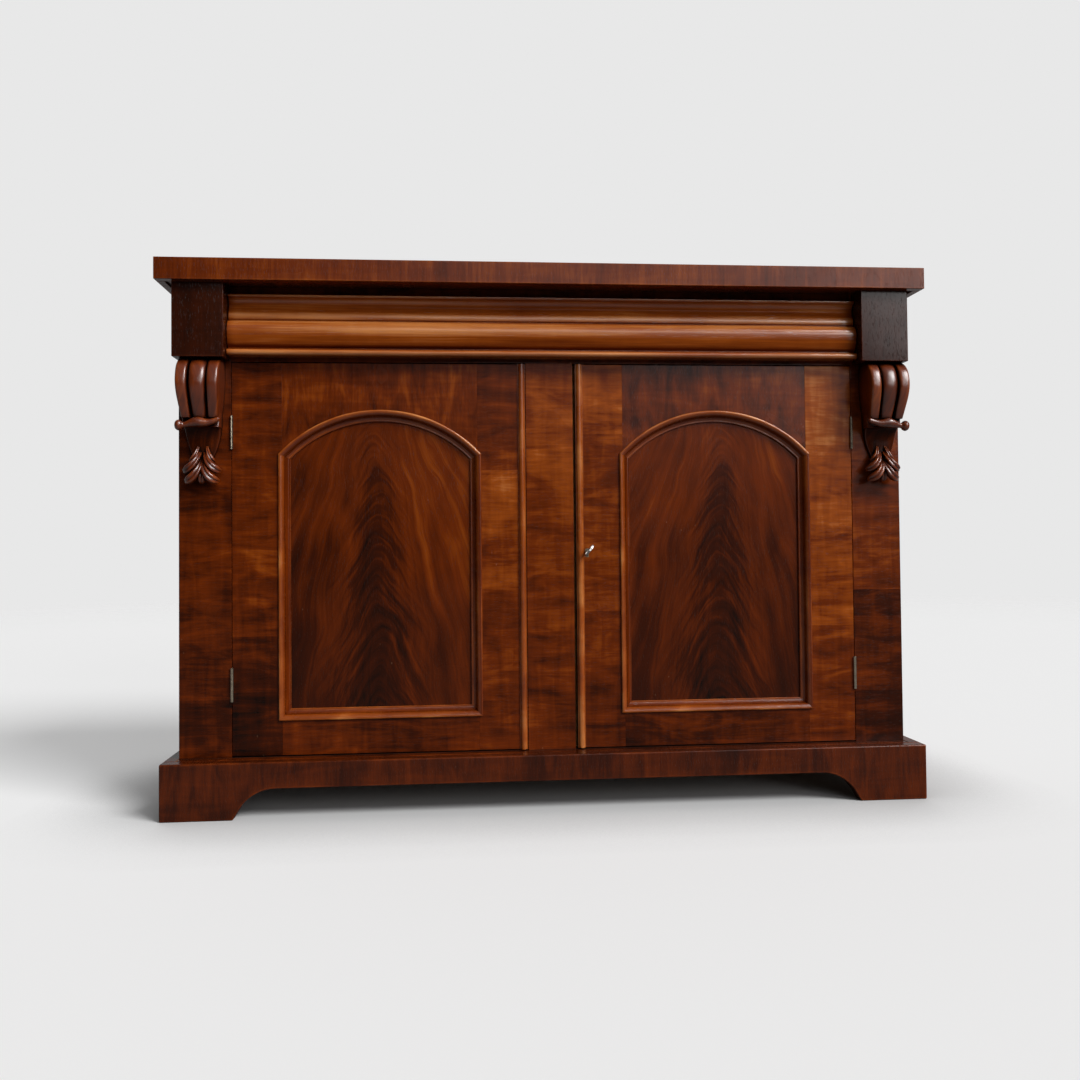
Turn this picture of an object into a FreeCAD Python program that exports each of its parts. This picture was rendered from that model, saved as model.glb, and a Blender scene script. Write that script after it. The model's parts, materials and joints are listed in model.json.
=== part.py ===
import FreeCAD, Part

# Victorian mahogany chiffonier: a low two-door cupboard with one full-width frieze drawer.
#
# +X is the width, +Y the back and +Z up, in millimetres. The origin is the middle of the
# footprint on the floor. Depths are written from the face plane, the plane of the doors'
# front faces: a negative depth stands proud of it, a positive depth lies behind it.

import math
import os

from FreeCAD import Vector

# ---------------------------------------------------------------- driving dimensions
# Carcass
carcass_width = 1258.0
carcass_depth = 385.0            # face plane to the rear of the back boards
body_height = 798.0              # plinth's ledge to the underside of the top
board_thickness = 20.0           # carcass sides
stile_thickness = 22.0           # pilasters, the carcass's front stiles
pilaster_width = 87.0
bottom_thickness = 18.0
back_thickness = 12.0
back_board_count = 6
back_rebate = 10.0               # how far the back boards lap the carcass sides

# Top
top_thickness = 33.0
top_side_overhang = 25.0
top_projection = 60.0
top_arris = 1.5

# Frieze
block_width = 84.0
block_projection = 46.0
block_height = 128.0
block_arris = 1.2
upper_rail_thickness = 20.0
lower_rail_thickness = 18.0
rail_depth = 60.0
dust_board_thickness = 10.0
runner_width = 42.0              # how far a runner reaches under the drawer
runner_tongue = 6.0              # dust board's tongue in the runners' grooves
guide_height = 30.0
guide_gap = 1.5                  # drawer side to its guide
kicker_width = 22.0
kicker_gap = 1.6                 # drawer side to the kicker above it

# Centre muntin and door stop
muntin_width = 82.0
stop_lap = 12.0                  # how far the stop reaches behind each door
stop_thickness = 12.0

# Doors
door_thickness = 22.0
door_hinge_gap = 1.0
door_top_gap = 1.8
door_bottom_gap = 2.0
left_closing_gap = 1.2
right_closing_gap = 4.5
door_back_clearance = 0.4
stile_face_width = 77.0          # door edge to the outer line of the panel moulding
bottom_rail_face = 58.0
top_rail_face = 80.0             # door top to the crown of the panel moulding
arch_rise = 76.0
panel_thickness = 7.0
panel_depth = 12.0               # face plane to the panel's front
panel_lap = 9.0                  # how far the panel laps the frame in its rebate
panel_clearance = 0.5

# Joints of the doors' frames
tenon_length = 38.0
tenon_front_cheek = 3.0          # face plane to the tenon
tenon_rear_cheek = 2.0           # tenon to the plane of the panel's front
tenon_shoulder = 9.0             # rail's edge to its tenon

# Panel moulding, a bolection worked in four mitred lengths
moulding_width = 19.0
moulding_lap = 6.0               # the part that lies on the frame
moulding_proud = 4.5
moulding_edge = 1.6              # height of the outer square edge
moulding_crest = 4.5             # outer edge to the highest line
moulding_bead_width = 4.8        # small bead along the inner edge
moulding_bead_rise = 2.4
moulding_quirk_width = 1.2       # between the large round and the bead
moulding_quirk_height = 5.0      # of the quirk above the panel

# Astragal on each closing stile
astragal_width = 13.0
astragal_height = 5.5
astragal_fillet = 1.5
astragal_edge = 1.6              # height of the fillets beside the bead

# Drawer
drawer_front_height = 104.0
drawer_lift = 7.0                # block's underside to the lip's underside
drawer_end_gap = 1.5
drawer_face_gap = 0.6            # moulded front to the rails it closes on
drawer_inner_front = 14.0
drawer_side_thickness = 12.0
drawer_side_gap = 2.0
drawer_clear_height = 3.0        # between the drawer box and the upper rail
drawer_end_space = 28.0          # drawer's back to the back boards
drawer_bottom_thickness = 8.0
drawer_bottom_rise = 9.0         # lower edge of the sides to the bottoms' groove
drawer_groove = 6.0
drawer_muntin_width = 64.0
drawer_muntin_rise = 6.0         # muntin's top above the bottoms
drawer_muntin_lift = 3.0         # lower edge of the sides to the muntin's underside
drawer_back_drop = 8.0
lap_tail_count = 4               # dovetails at each front corner, lapped by the front
lap_tail_length = 10.0
through_tail_count = 3           # at each rear corner
tail_width = 13.0                # at its end
tail_flare = 2.0                 # how much less it is on each side at its root

# Moulded drawer front: how far each member stands in front of the face plane
lip_projection = 29.0
lip_diameter = 11.0
lip_quirk_projection = 21.0
lip_quirk_height = 2.5
belly_foot_projection = 24.0
belly_projection = 27.0
belly_height = 46.0
belly_full_height = 16.5         # where the belly stands furthest out
belly_foot_round = 0.7           # how much its foot is rounded beyond a straight chamfer
hollow_quirk_projection = 3.0
hollow_quirk_height = 10.0
hollow_fillet_projection = 7.0
hollow_fillet_height = 7.0
top_fillet_projection = 18.0
top_fillet_height = 4.0

# Shelf
shelf_thickness = 18.0
shelf_height = 324.0             # cupboard floor to the shelf's underside
shelf_setback = 44.0
shelf_clearance = 0.5
bearer_width = 20.0
bearer_height = 22.0

# Plinth
plinth_height = 94.0
plinth_projection = 45.0
plinth_side_projection = 21.0
plinth_thickness = 24.0
plinth_arris = 3.0
foot_width = 118.0
foot_slope_run = 12.0
foot_slope_rise = 20.0
arch_height = 50.0
arch_run = 57.0                  # along the floor, from the foot's slope to the level soffit
plinth_block_size = 45.0
plinth_back_thickness = 22.0
plinth_back_lift = 30.0

# Carved corbels under the frieze blocks
corbel_width = 70.0
corbel_height = 208.0
corbel_projection = 57.0
corbel_inset = 41.0              # carcass side to the corbel's centre line
reed_facets = 6                  # flats round a reed's nose
roll_facets = 7
leaf_facets = 6

# Butt hinges
hinge_length = 57.0
upper_hinge_height = 549.0       # centre of each hinge above the plinth's ledge
lower_hinge_height = 122.0
leaf_thickness = 1.8
leaf_width = 17.0
knuckle_radius = 2.7
knuckle_proud = 2.0              # pivot's distance in front of the face plane
knuckle_count = 3
knuckle_flats = 12
knuckle_gap = 0.3
pin_radius = 1.3
pin_clearance = 0.05

# Lock and key
key_height = 343.0               # above the plinth's ledge
lock_backset = 19.0              # closing edge to the key's centre line
lock_width = 56.0
lock_height = 44.0
lock_below_key = 20.0
lock_thickness = 10.0
lock_wall = 1.2
lock_floor = 1.6
bolt_height = 12.0
bolt_thickness = 3.6
bolt_length = 40.0
bolt_above_key = 5.0
bolt_throw = 10.5
bolt_clearance = 0.4
key_shank_radius = 2.4
key_hole_radius = 3.0
key_slot_width = 2.8
key_slot_drop = 10.0
key_bit_drop = 8.6
key_bit_thickness = 1.8
key_shank_proud = 16.0
key_collar_radius = 3.6
key_bow_width = 25.0
key_bow_length = 19.0
key_bow_bar = 3.2
key_bow_flats = 14
key_lean = 38.0                  # degrees that the key stands turned at rest
escutcheon_wall = 1.1
escutcheon_depth = 3.0
escutcheon_proud = 0.4

# Pair of necked bolts inside the left door
catch_inset = 34.0               # closing edge to the bolt's centre line
catch_plate_width = 18.0
catch_plate_length = 56.0
catch_plate_thickness = 1.6
catch_end_gap = 4.0              # door's end to the plate
catch_bar_width = 8.0
catch_bar_thickness = 3.4
catch_bar_length = 48.0
catch_bar_gap = 0.2
catch_guide_height = 8.0
catch_guide_wall = 1.6
catch_knob_radius = 3.5
catch_knob_height = 6.0
catch_throw = 10.0

# ---------------------------------------------------------------- derived places
half_width = carcass_width / 2
face_y = -(carcass_depth - top_projection) / 2
back_y = face_y + carcass_depth
ledge_z = plinth_height
top_z = ledge_z + body_height
block_z = top_z - block_height
floor_z = ledge_z - bottom_thickness
opening_half = half_width - pilaster_width
block_inner = half_width - block_width
inner_half = half_width - board_thickness
back_front_depth = carcass_depth - back_thickness
drawer_length = back_front_depth - drawer_end_space
lower_rail_top = block_z + lower_rail_thickness
upper_rail_bottom = top_z - upper_rail_thickness
door_bottom = ledge_z + door_bottom_gap
door_top = block_z - door_top_gap
muntin_half = muntin_width / 2
muntin_thickness = door_thickness + door_back_clearance
frame_edge_gap = door_hinge_gap / 2


def depth(value):
    """Y of a plane that lies this far behind the face plane."""
    return face_y + value


def block(x_range, depth_range, z_range):
    """Rectangular solid between two X, two depths and two Z."""
    x0, x1 = x_range
    d0, d1 = depth_range
    z0, z1 = z_range
    return Part.makeBox(x1 - x0, d1 - d0, z1 - z0, Vector(x0, depth(d0), z0))


def mirrored(shape):
    """The same piece on the other side of the chiffonier."""
    return shape.mirror(Vector(0, 0, 0), Vector(1, 0, 0))


def outline(points):
    """Closed wire from (point) corners and ((middle, end)) arcs."""
    edges = []
    here = points[0]
    for step in points[1:]:
        if isinstance(step, tuple):
            middle, end = step
            edges.append(Part.Arc(here, middle, end).toShape())
        else:
            end = step
            edges.append(Part.makeLine(here, end))
        here = end
    edges.append(Part.makeLine(here, points[0]))
    return Part.Wire(edges)


def prism(points, travel):
    return Part.Face(outline(points)).extrude(travel)


def rod(radius, start, axis, length):
    return Part.makeCylinder(radius, length, start, axis)


def joined(shapes):
    """One solid from pieces that overlap, with seams removed."""
    first, *rest = shapes
    return first.fuse(rest).removeSplitter()


def save(node, *solids):
    shape = solids[0] if len(solids) == 1 else Part.makeCompound(list(solids))
    for solid in solids:
        if not solid.isValid() or solid.Volume <= 0:
            print("CHECK", node, "is not a sound solid")
    shape.exportStep("parts/%s.step" % node)
    total = sum(solid.Volume for solid in solids)
    print("%-26s %2d solid(s) %10.1f cm3" % (node, len(shape.Solids), total / 1000))


# ---------------------------------------------------------------- carcass
def top_board():
    half = half_width + top_side_overhang
    board = block((-half, half), (-top_projection, carcass_depth), (top_z, top_z + top_thickness))
    return board.makeChamfer(top_arris, board.Edges)


def carcass_side():
    """Right-hand side, rebated behind for the back boards."""
    side = block((inner_half, half_width), (stile_thickness, carcass_depth), (floor_z, top_z))
    rebate = block((inner_half, inner_half + back_rebate), (back_front_depth, carcass_depth),
                   (floor_z, top_z))
    return side.cut(rebate)


def bottom_board():
    """Cupboard floor: it fills the carcass and runs out under the pilasters."""
    floor = block((-inner_half, inner_half), (0, back_front_depth), (floor_z, ledge_z))
    nosing = block((-half_width, half_width), (0, stile_thickness), (floor_z, ledge_z))
    return joined([floor, nosing]).cut(catch_keep(upper=False))


def back_boards():
    span = 2 * (inner_half + back_rebate)
    width = span / back_board_count
    boards = []
    for index in range(back_board_count):
        left = -span / 2 + index * width
        boards.append(block((left, left + width), (back_front_depth, carcass_depth), (floor_z, top_z)))
    return boards


def pilaster():
    """Right-hand front stile, with pockets for the hinges' frame leaves."""
    stile = block((opening_half, half_width), (0, stile_thickness), (ledge_z, top_z))
    for centre in hinge_centres():
        stile = stile.cut(hinge_pocket(centre, on_door=False))
    return stile


def frieze_block():
    piece = block((block_inner, half_width), (-block_projection, 0), (block_z, top_z))
    front = [edge for edge in piece.Edges if edge.BoundBox.YMax < depth(0) - block_projection / 2]
    return piece.makeFillet(block_arris, front)


def upper_rail():
    return block((-opening_half, opening_half), (0, rail_depth), (upper_rail_bottom, top_z))


def lower_rail():
    rail = block((-opening_half, opening_half), (0, rail_depth), (block_z, lower_rail_top))
    return rail.cut(catch_keep(upper=True))


def dust_board_levels():
    middle = block_z + lower_rail_thickness / 2
    return middle - dust_board_thickness / 2, middle + dust_board_thickness / 2


def runner_inner():
    return opening_half - runner_width


def dust_board():
    half = runner_inner() + runner_tongue
    return block((-half, half), (rail_depth, back_front_depth), dust_board_levels())


def drawer_runner():
    """Right-hand runner and the guide glued along it, grooved for the dust board."""
    inner = runner_inner()
    runner = block((inner, inner_half), (rail_depth, back_front_depth), (block_z, lower_rail_top))
    shoulder = block((opening_half, inner_half), (stile_thickness, rail_depth),
                     (block_z, lower_rail_top))
    guide = block((opening_half - drawer_side_gap + guide_gap, inner_half),
                  (stile_thickness, back_front_depth), (lower_rail_top, lower_rail_top + guide_height))
    groove = block((inner, inner + runner_tongue), (rail_depth, back_front_depth), dust_board_levels())
    return joined([runner, shoulder, guide]).cut(groove)


def drawer_kicker():
    """Right-hand strip that keeps the drawer level as it is drawn out."""
    box = drawer_box_levels()
    outer = opening_half
    return block((outer - kicker_width, outer), (rail_depth, back_front_depth),
                 (box[1] + kicker_gap, top_z))


def centre_muntin():
    muntin = block((-muntin_half, muntin_half), (0, muntin_thickness), (ledge_z, block_z))
    return muntin.cut(bolt_solid(travel=bolt_throw, grow=bolt_clearance))


def door_stop():
    return block((-muntin_half - left_closing_gap - stop_lap, muntin_half + right_closing_gap + stop_lap),
                 (muntin_thickness, muntin_thickness + stop_thickness), (ledge_z, block_z))


def shelf():
    half = inner_half - shelf_clearance
    bottom = ledge_z + shelf_height
    return block((-half, half), (shelf_setback, back_front_depth - shelf_clearance),
                 (bottom, bottom + shelf_thickness))


def shelf_bearer():
    bottom = ledge_z + shelf_height
    return block((inner_half - bearer_width, inner_half), (shelf_setback, back_front_depth),
                 (bottom - bearer_height, bottom))


# ---------------------------------------------------------------- plinth
def foot_arch(start, end, point):
    """Outline of the gap between two feet, from start to end along the board.

    Each foot slopes in, then a quarter hollow sweeps up to the level soffit.
    """
    drop = arch_height - foot_slope_rise
    radius = (arch_run ** 2 + drop ** 2) / (2 * drop)
    sweep = math.asin(min(1.0, arch_run / radius)) / 2
    along = radius * math.sin(sweep)
    below = radius * (1 - math.cos(sweep))
    foot_in = start + foot_width
    foot_out = end - foot_width
    level_in = foot_in + foot_slope_run + arch_run
    level_out = foot_out - foot_slope_run - arch_run
    return [
        point(foot_in, 0),
        point(foot_in + foot_slope_run, foot_slope_rise),
        (point(level_in - along, arch_height - below), point(level_in, arch_height)),
        point(level_out, arch_height),
        (point(level_out + along, arch_height - below), point(foot_out - foot_slope_run, foot_slope_rise)),
        point(foot_out, 0),
    ]


def plinth_front():
    half = half_width + plinth_side_projection
    front = depth(-plinth_projection)

    def point(x, z):
        return Vector(x, front, z)

    corners = [point(-half, 0)] + foot_arch(-half, half, point)
    corners += [point(half, 0), point(half, plinth_height), point(-half, plinth_height)]
    board = prism(corners, Vector(0, plinth_thickness, 0))
    ends = [edge for edge in board.Edges
            if abs(edge.BoundBox.YMax - front) < 0.01
            and abs(abs(edge.CenterOfMass.x) - half) < 0.01]
    return board.makeFillet(plinth_arris, ends)


def plinth_side():
    """Right-hand side board, cut to the same feet as the front."""
    start = depth(-plinth_projection)
    near = start + plinth_thickness

    def point(y, z):
        return Vector(half_width, y, z)

    arch = foot_arch(start, back_y, point)
    corners = [point(near, 0)] + arch
    corners += [point(back_y, 0), point(back_y, plinth_height), point(near, plinth_height)]
    return prism(corners, Vector(plinth_side_projection, 0, 0))


def plinth_back():
    return block((-half_width, half_width), (carcass_depth - plinth_back_thickness, carcass_depth),
                 (plinth_back_lift, floor_z))


def plinth_ledge():
    """Strip that closes the plinth's top in front of the carcass."""
    return block((-half_width, half_width), (plinth_thickness - plinth_projection, 0), (floor_z, ledge_z))


def plinth_blocks():
    front = plinth_thickness - plinth_projection
    rear = carcass_depth - plinth_back_thickness
    pair = [
        block((half_width - plinth_block_size, half_width), (front, front + plinth_block_size), (0, floor_z)),
        block((half_width - plinth_block_size, half_width), (rear - plinth_block_size, rear), (0, floor_z)),
    ]
    return pair + [mirrored(piece) for piece in pair]


# ---------------------------------------------------------------- carved corbel
def corbel_point(x, projection, drop):
    """A place on the right-hand corbel, from shares of its width, projection and height."""
    return Vector(half_width - corbel_inset + x * corbel_width, depth(-projection * corbel_projection),
                  block_z - drop * corbel_height)


def flat(corners):
    return Part.Face(Part.makePolygon(corners + [corners[0]]))


def carved(sections):
    """Solid cut in flat facets between sections with the same number of corners."""
    facets = [flat(sections[0]), flat(sections[-1])]
    for near, far in zip(sections, sections[1:]):
        near_next = near[1:] + near[:1]
        far_next = far[1:] + far[:1]
        for a, b, c, d in zip(near, near_next, far_next, far):
            facets += [flat([a, b, c]), flat([a, c, d])]
    shell = Part.makeShell(facets)
    shell.sewShape()
    solid = Part.makeSolid(shell)
    if solid.Volume < 0:
        solid.reverse()
    return solid


def corbel_ground(width, side_line):
    """Ground of the carving: a side outline of (projection, drop) corners, sawn right through."""
    line = [(0, side_line[0][1])] + side_line + [(0, side_line[-1][1])]
    corners = [corbel_point(-width / 2, projection, drop) for projection, drop in line]
    return prism(corners, Vector(width * corbel_width, 0, 0))


def scroll_reed(centre, top, foot):
    """One reed of the console scroll: it swells out under the block and tapers to the tie.

    Each level section has a straight back and sides and a round nose as deep as it is half wide,
    so the reed is carved in flat facets from one section to the next.
    """
    # drop, projection, and how much of the top's width the reed keeps there
    stations = [(0.0, 0.52, 0.84), (0.03, 0.74, 0.94), (0.08, 0.91, 1.0), (0.15, 0.995, 1.0),
                (0.22, 0.985, 0.94), (0.30, 0.90, 0.76), (0.39, 0.75, 0.44), (0.48, 0.62, 0.0)]
    sections = []
    for drop, projection, fullness in stations:
        half = (foot + (top - foot) * fullness) / 2
        middle = centre * (0.88 + 0.12 * fullness)
        nose = half * corbel_width / corbel_projection
        turn = [math.pi * step / reed_facets for step in range(reed_facets + 1)]
        rim = [corbel_point(middle - half * math.cos(a), projection - nose * (1 - math.sin(a)), drop)
               for a in turn]
        sections.append([corbel_point(middle - half, 0, drop)] + rim + [corbel_point(middle + half, 0, drop)])
    return carved(sections)


def cross_roll():
    """Waved roll with a knob at each end, tied across the foot of the scroll."""
    # across, rise of the middle line, and radius, all as shares of the corbel's width
    stations = [(-0.525, -0.05, 0.04), (-0.50, -0.05, 0.095), (-0.45, -0.05, 0.12), (-0.39, -0.05, 0.105),
                (-0.32, -0.035, 0.07), (-0.24, -0.01, 0.078), (-0.13, 0.025, 0.10), (0.0, 0.04, 0.115)]
    stations += [(-x, rise, radius) for x, rise, radius in reversed(stations[:-1])]
    turn = [2 * math.pi * step / roll_facets for step in range(roll_facets)]
    sections = []
    for x, rise, radius in stations:
        middle = corbel_point(x, 0.66, 0.525)
        sections.append([middle + Vector(0, math.cos(a) * radius * corbel_width,
                                         (rise + radius * math.sin(a)) * corbel_width) for a in turn])
    return carved(sections)


def leaflet(root, bend, tip, radii):
    """Curled finger of the acanthus: level sections along a parabola from root to tip."""
    turn = [2 * math.pi * step / leaf_facets for step in range(leaf_facets)]
    sections = []
    for index, radius in enumerate(radii):
        t = index / (len(radii) - 1)
        middle = root * ((1 - t) ** 2) + bend * (2 * t * (1 - t)) + tip * (t ** 2)
        sections.append([middle + Vector(math.cos(a), math.sin(a), 0) * (radius * corbel_width)
                         for a in turn])
    return carved(sections)


def acanthus():
    """Drop of leaves below the neck: two curled leaflets a side, a stem and a bud."""
    at = corbel_point
    leaves = []
    for side in (-1, 1):
        leaves.append(leaflet(at(0.08 * side, 0.17, 0.68), at(0.30 * side, 0.42, 0.76),
                              at(0.43 * side, 0.17, 0.875), (0.05, 0.08, 0.085, 0.07, 0.035)))
        leaves.append(leaflet(at(0.05 * side, 0.18, 0.76), at(0.15 * side, 0.44, 0.90),
                              at(0.40 * side, 0.20, 0.975), (0.06, 0.075, 0.08, 0.07, 0.04)))
    stem = leaflet(at(0, 0.14, 0.62), at(0, 0.34, 0.80), at(0, 0.20, 0.95), (0.08, 0.10, 0.085, 0.06, 0.05))
    bud = leaflet(at(0, 0.20, 0.94), at(0, 0.24, 0.97), at(0, 0.20, 1.0), (0.035, 0.065, 0.07, 0.035))
    return leaves + [stem, bud]


def corbel():
    """Right-hand console corbel: scroll of three reeds, tied by a roll, over an acanthus drop."""
    scroll = corbel_ground(0.88, [(0.34, 0.0), (0.56, 0.07), (0.68, 0.16), (0.64, 0.25), (0.52, 0.36),
                                  (0.44, 0.47), (0.50, 0.55)])
    neck = corbel_ground(0.66, [(0.48, 0.54), (0.30, 0.60), (0.20, 0.67), (0.22, 0.76)])
    leaf_ground = corbel_ground(0.50, [(0.20, 0.72), (0.24, 0.82), (0.20, 0.90), (0.10, 0.95)])
    reeds = [scroll_reed(-0.355, 0.28, 0.13), scroll_reed(0.0, 0.40, 0.18), scroll_reed(0.355, 0.28, 0.13)]
    return joined([scroll, neck, leaf_ground] + reeds + [cross_roll()] + acanthus())


# ---------------------------------------------------------------- hinges
def hinge_centres():
    return ledge_z + lower_hinge_height, ledge_z + upper_hinge_height


def pivot(z):
    """A place on the right-hand door's hinge axis."""
    return Vector(opening_half - frame_edge_gap, depth(-knuckle_proud), z)


def knuckles(centre, first):
    """Every second knuckle of a hinge, from the first one given, its round worked in flats."""
    length = hinge_length / knuckle_count
    bottom = centre - hinge_length / 2
    turn = [2 * math.pi * step / knuckle_flats for step in range(knuckle_flats)]
    rim = [Vector(math.cos(a), math.sin(a), 0) * knuckle_radius for a in turn]
    solids = []
    for index in range(first, knuckle_count, 2):
        start = pivot(bottom + index * length + knuckle_gap / 2)
        solids.append(prism([start + point for point in rim], Vector(0, 0, length - knuckle_gap)))
    return solids


def leaf_plate(centre, on_door):
    edge = opening_half - door_hinge_gap if on_door else opening_half
    outer = edge - leaf_thickness if on_door else edge + leaf_thickness
    return block((min(edge, outer), max(edge, outer)), (-knuckle_proud, leaf_width),
                 (centre - hinge_length / 2, centre + hinge_length / 2))


def knuckle_notches(centre, first):
    """Square gaps in a leaf, clear of the other leaf's knuckles."""
    length = hinge_length / knuckle_count
    bottom = centre - hinge_length / 2
    reach = knuckle_radius + knuckle_gap
    x = pivot(centre).x
    return [block((x - reach, x + reach), (-knuckle_proud - reach, -knuckle_proud + reach),
                  (bottom + index * length, bottom + (index + 1) * length))
            for index in range(first, knuckle_count, 2)]


def hinge_leaf(centre, on_door):
    """One leaf of a butt hinge with its share of the knuckles, bored for the pin."""
    own = 1 if on_door else 0
    bottom = centre - hinge_length / 2
    bore = rod(pin_radius + pin_clearance, pivot(bottom), Vector(0, 0, 1), hinge_length)
    plate = leaf_plate(centre, on_door).cut(knuckle_notches(centre, 1 - own))
    return joined([plate] + knuckles(centre, own)).cut(bore)


def hinge_pocket(centre, on_door):
    """What a leaf and the knuckle take out of the wood beside them."""
    whole = rod(knuckle_radius + knuckle_gap, pivot(centre - hinge_length / 2), Vector(0, 0, 1), hinge_length)
    return leaf_plate(centre, on_door).fuse(whole)


def hinge_pin(centre):
    return rod(pin_radius, pivot(centre - hinge_length / 2), Vector(0, 0, 1), hinge_length)


# ---------------------------------------------------------------- lock and key
def key_axis(value):
    """A place on the key's centre line, at this depth."""
    return Vector(muntin_half + right_closing_gap + lock_backset, depth(value), ledge_z + key_height)


def lock_span():
    edge = muntin_half + right_closing_gap
    bottom = ledge_z + key_height - lock_below_key
    return (edge, edge + lock_width), (bottom, bottom + lock_height)


def lock_front():
    return door_thickness - lock_thickness


def keyhole(grow, start, end):
    """Round hole with a slot below, between two depths."""
    hole = rod(key_hole_radius + grow, key_axis(start), Vector(0, 1, 0), end - start)
    centre = key_axis(0)
    half = key_slot_width / 2 + grow
    slot = block((centre.x - half, centre.x + half), (start, end),
                 (centre.z - key_slot_drop - grow, centre.z))
    return hole.fuse(slot)


def bolt_depths():
    back = door_thickness - lock_floor - bolt_clearance
    return back - bolt_thickness, back


def bolt_solid(travel, grow):
    """Lock bolt, or the room that it needs when it is thrown."""
    edge = muntin_half + right_closing_gap
    low = ledge_z + key_height + bolt_above_key
    front, back = bolt_depths()
    return block((edge - travel - grow, edge - travel + bolt_length),
                 (front - grow, back + grow), (low - grow, low + bolt_height + grow))


def lock_case():
    """Cut lock let into the back of the closing stile: a case, hollow for the bolt and the key's bit."""
    (x0, x1), (z0, z1) = lock_span()
    case = block((x0, x1), (lock_front(), door_thickness), (z0, z1))
    room = block((x0 + lock_wall, x1 - lock_wall), (lock_front() + lock_wall, door_thickness - lock_floor),
                 (z0 + lock_wall, z1 - lock_wall))
    slot = bolt_solid(travel=bolt_throw, grow=bolt_clearance / 2)
    return case.cut(room).cut(slot).cut(keyhole(0, lock_front(), lock_front() + lock_wall))


def key():
    """Key with an oval bow, turned a little from upright."""
    inside = lock_front() + lock_wall + bolt_clearance
    tip = bolt_depths()[0] - bolt_clearance
    centre = key_axis(0)
    shank = rod(key_shank_radius, key_axis(-key_shank_proud), Vector(0, 1, 0), key_shank_proud + tip)
    collar = rod(key_collar_radius, key_axis(-key_shank_proud), Vector(0, 1, 0), key_bow_bar)
    bit = block((centre.x - key_bit_thickness / 2, centre.x + key_bit_thickness / 2),
                (inside, tip), (centre.z - key_bit_drop, centre.z))
    bow_centre = key_axis(-key_shank_proud - key_bow_length / 2 + key_bow_bar / 2)
    turn = [2 * math.pi * step / key_bow_flats for step in range(key_bow_flats)]
    ovals = []
    for inset in (0, key_bow_bar):
        up = key_bow_width / 2 - inset
        out = key_bow_length / 2 - inset
        rim = [bow_centre + Vector(-key_bow_bar / 2, out * math.cos(a), up * math.sin(a)) for a in turn]
        ovals.append(flat(rim).extrude(Vector(key_bow_bar, 0, 0)))
    whole = joined([shank, collar, bit, ovals[0].cut(ovals[1])])
    whole.rotate(centre, Vector(0, 1, 0), key_lean)
    return whole


def escutcheon():
    """Brass thread let in round the keyhole."""
    outer = keyhole(escutcheon_wall, -escutcheon_proud, escutcheon_depth)
    return outer.cut(keyhole(0, -escutcheon_proud, escutcheon_depth))


# ---------------------------------------------------------------- left door's bolts
def catch_centre_x():
    return -(muntin_half + left_closing_gap + catch_inset)


def flipped(shape):
    """The lower bolt: the upper one turned end for end about the middle of the door."""
    middle = (door_top + door_bottom) / 2
    return shape.mirror(Vector(0, 0, middle), Vector(0, 0, 1))


def catch_bar_space(low, high, grow):
    x = catch_centre_x()
    half = catch_bar_width / 2 + grow
    front = door_thickness + catch_plate_thickness
    return block((x - half, x + half), (front, front + catch_bar_thickness + catch_bar_gap + grow),
                 (low, high))


def catch_case():
    """Upper bolt's plate with two guides."""
    x = catch_centre_x()
    top = door_top - catch_end_gap
    bottom = top - catch_plate_length
    half = catch_plate_width / 2
    plate = block((x - half, x + half), (door_thickness, door_thickness + catch_plate_thickness),
                  (bottom, top))
    bar_back = door_thickness + catch_plate_thickness + catch_bar_gap + catch_bar_thickness
    guide_half = catch_bar_width / 2 + catch_bar_gap + catch_guide_wall
    guides = [block((x - guide_half, x + guide_half),
                    (door_thickness, bar_back + catch_bar_gap + catch_guide_wall),
                    (low, low + catch_guide_height))
              for low in (bottom + catch_guide_height / 2, top - catch_guide_height)]
    return joined([plate] + guides).cut(catch_bar_space(bottom, top, catch_bar_gap))


def catch_bar():
    """Upper sliding bolt, drawn back, with its thumb knob between the guides."""
    x = catch_centre_x()
    front = door_thickness + catch_plate_thickness + catch_bar_gap
    high = door_top - catch_bar_gap
    half = catch_bar_width / 2
    bar = block((x - half, x + half), (front, front + catch_bar_thickness), (high - catch_bar_length, high))
    guide_top = door_top - catch_end_gap - catch_plate_length + 1.5 * catch_guide_height
    knob_z = guide_top + catch_knob_radius + catch_bar_gap
    knob = rod(catch_knob_radius, Vector(x, depth(front), knob_z), Vector(0, 1, 0),
               catch_bar_thickness + catch_knob_height)
    return joined([bar, knob])


def catch_keep(upper):
    """Hole in the rail above, or the floor below, that a thrown bolt enters."""
    high = door_top + catch_throw + catch_bar_gap
    hole = catch_bar_space(door_top, high, 2 * catch_bar_gap)
    return hole if upper else flipped(hole)


# ---------------------------------------------------------------- doors
class Door:
    """Sizes of one door: it hangs on its outer edge and closes on the muntin."""

    def __init__(self, left, right):
        self.left = left
        self.right = right
        self.centre = (left + right) / 2
        self.half = (right - left) / 2 - stile_face_width
        self.low = door_bottom + bottom_rail_face
        self.crown = door_top - top_rail_face
        self.radius = (self.half ** 2 + arch_rise ** 2) / (2 * arch_rise)
        self.arch_z = self.crown - self.radius

    def spring(self, inset):
        """Height at which the arch meets the upright, this far inside the moulding's outer line."""
        return self.arch_z + math.sqrt((self.radius - inset) ** 2 - (self.half - inset) ** 2)

    def place(self, x, z):
        return Vector(self.centre + x, depth(0), z)


def panel_bed(door, slack):
    """Room for the panel: a plain rectangle behind the arched frame."""
    reach = door.half - moulding_lap + panel_lap - slack
    low = door.low + moulding_lap - panel_lap + slack
    high = door.crown - moulding_lap + panel_lap - slack
    return (door.centre - reach, door.centre + reach), (low, high)


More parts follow.
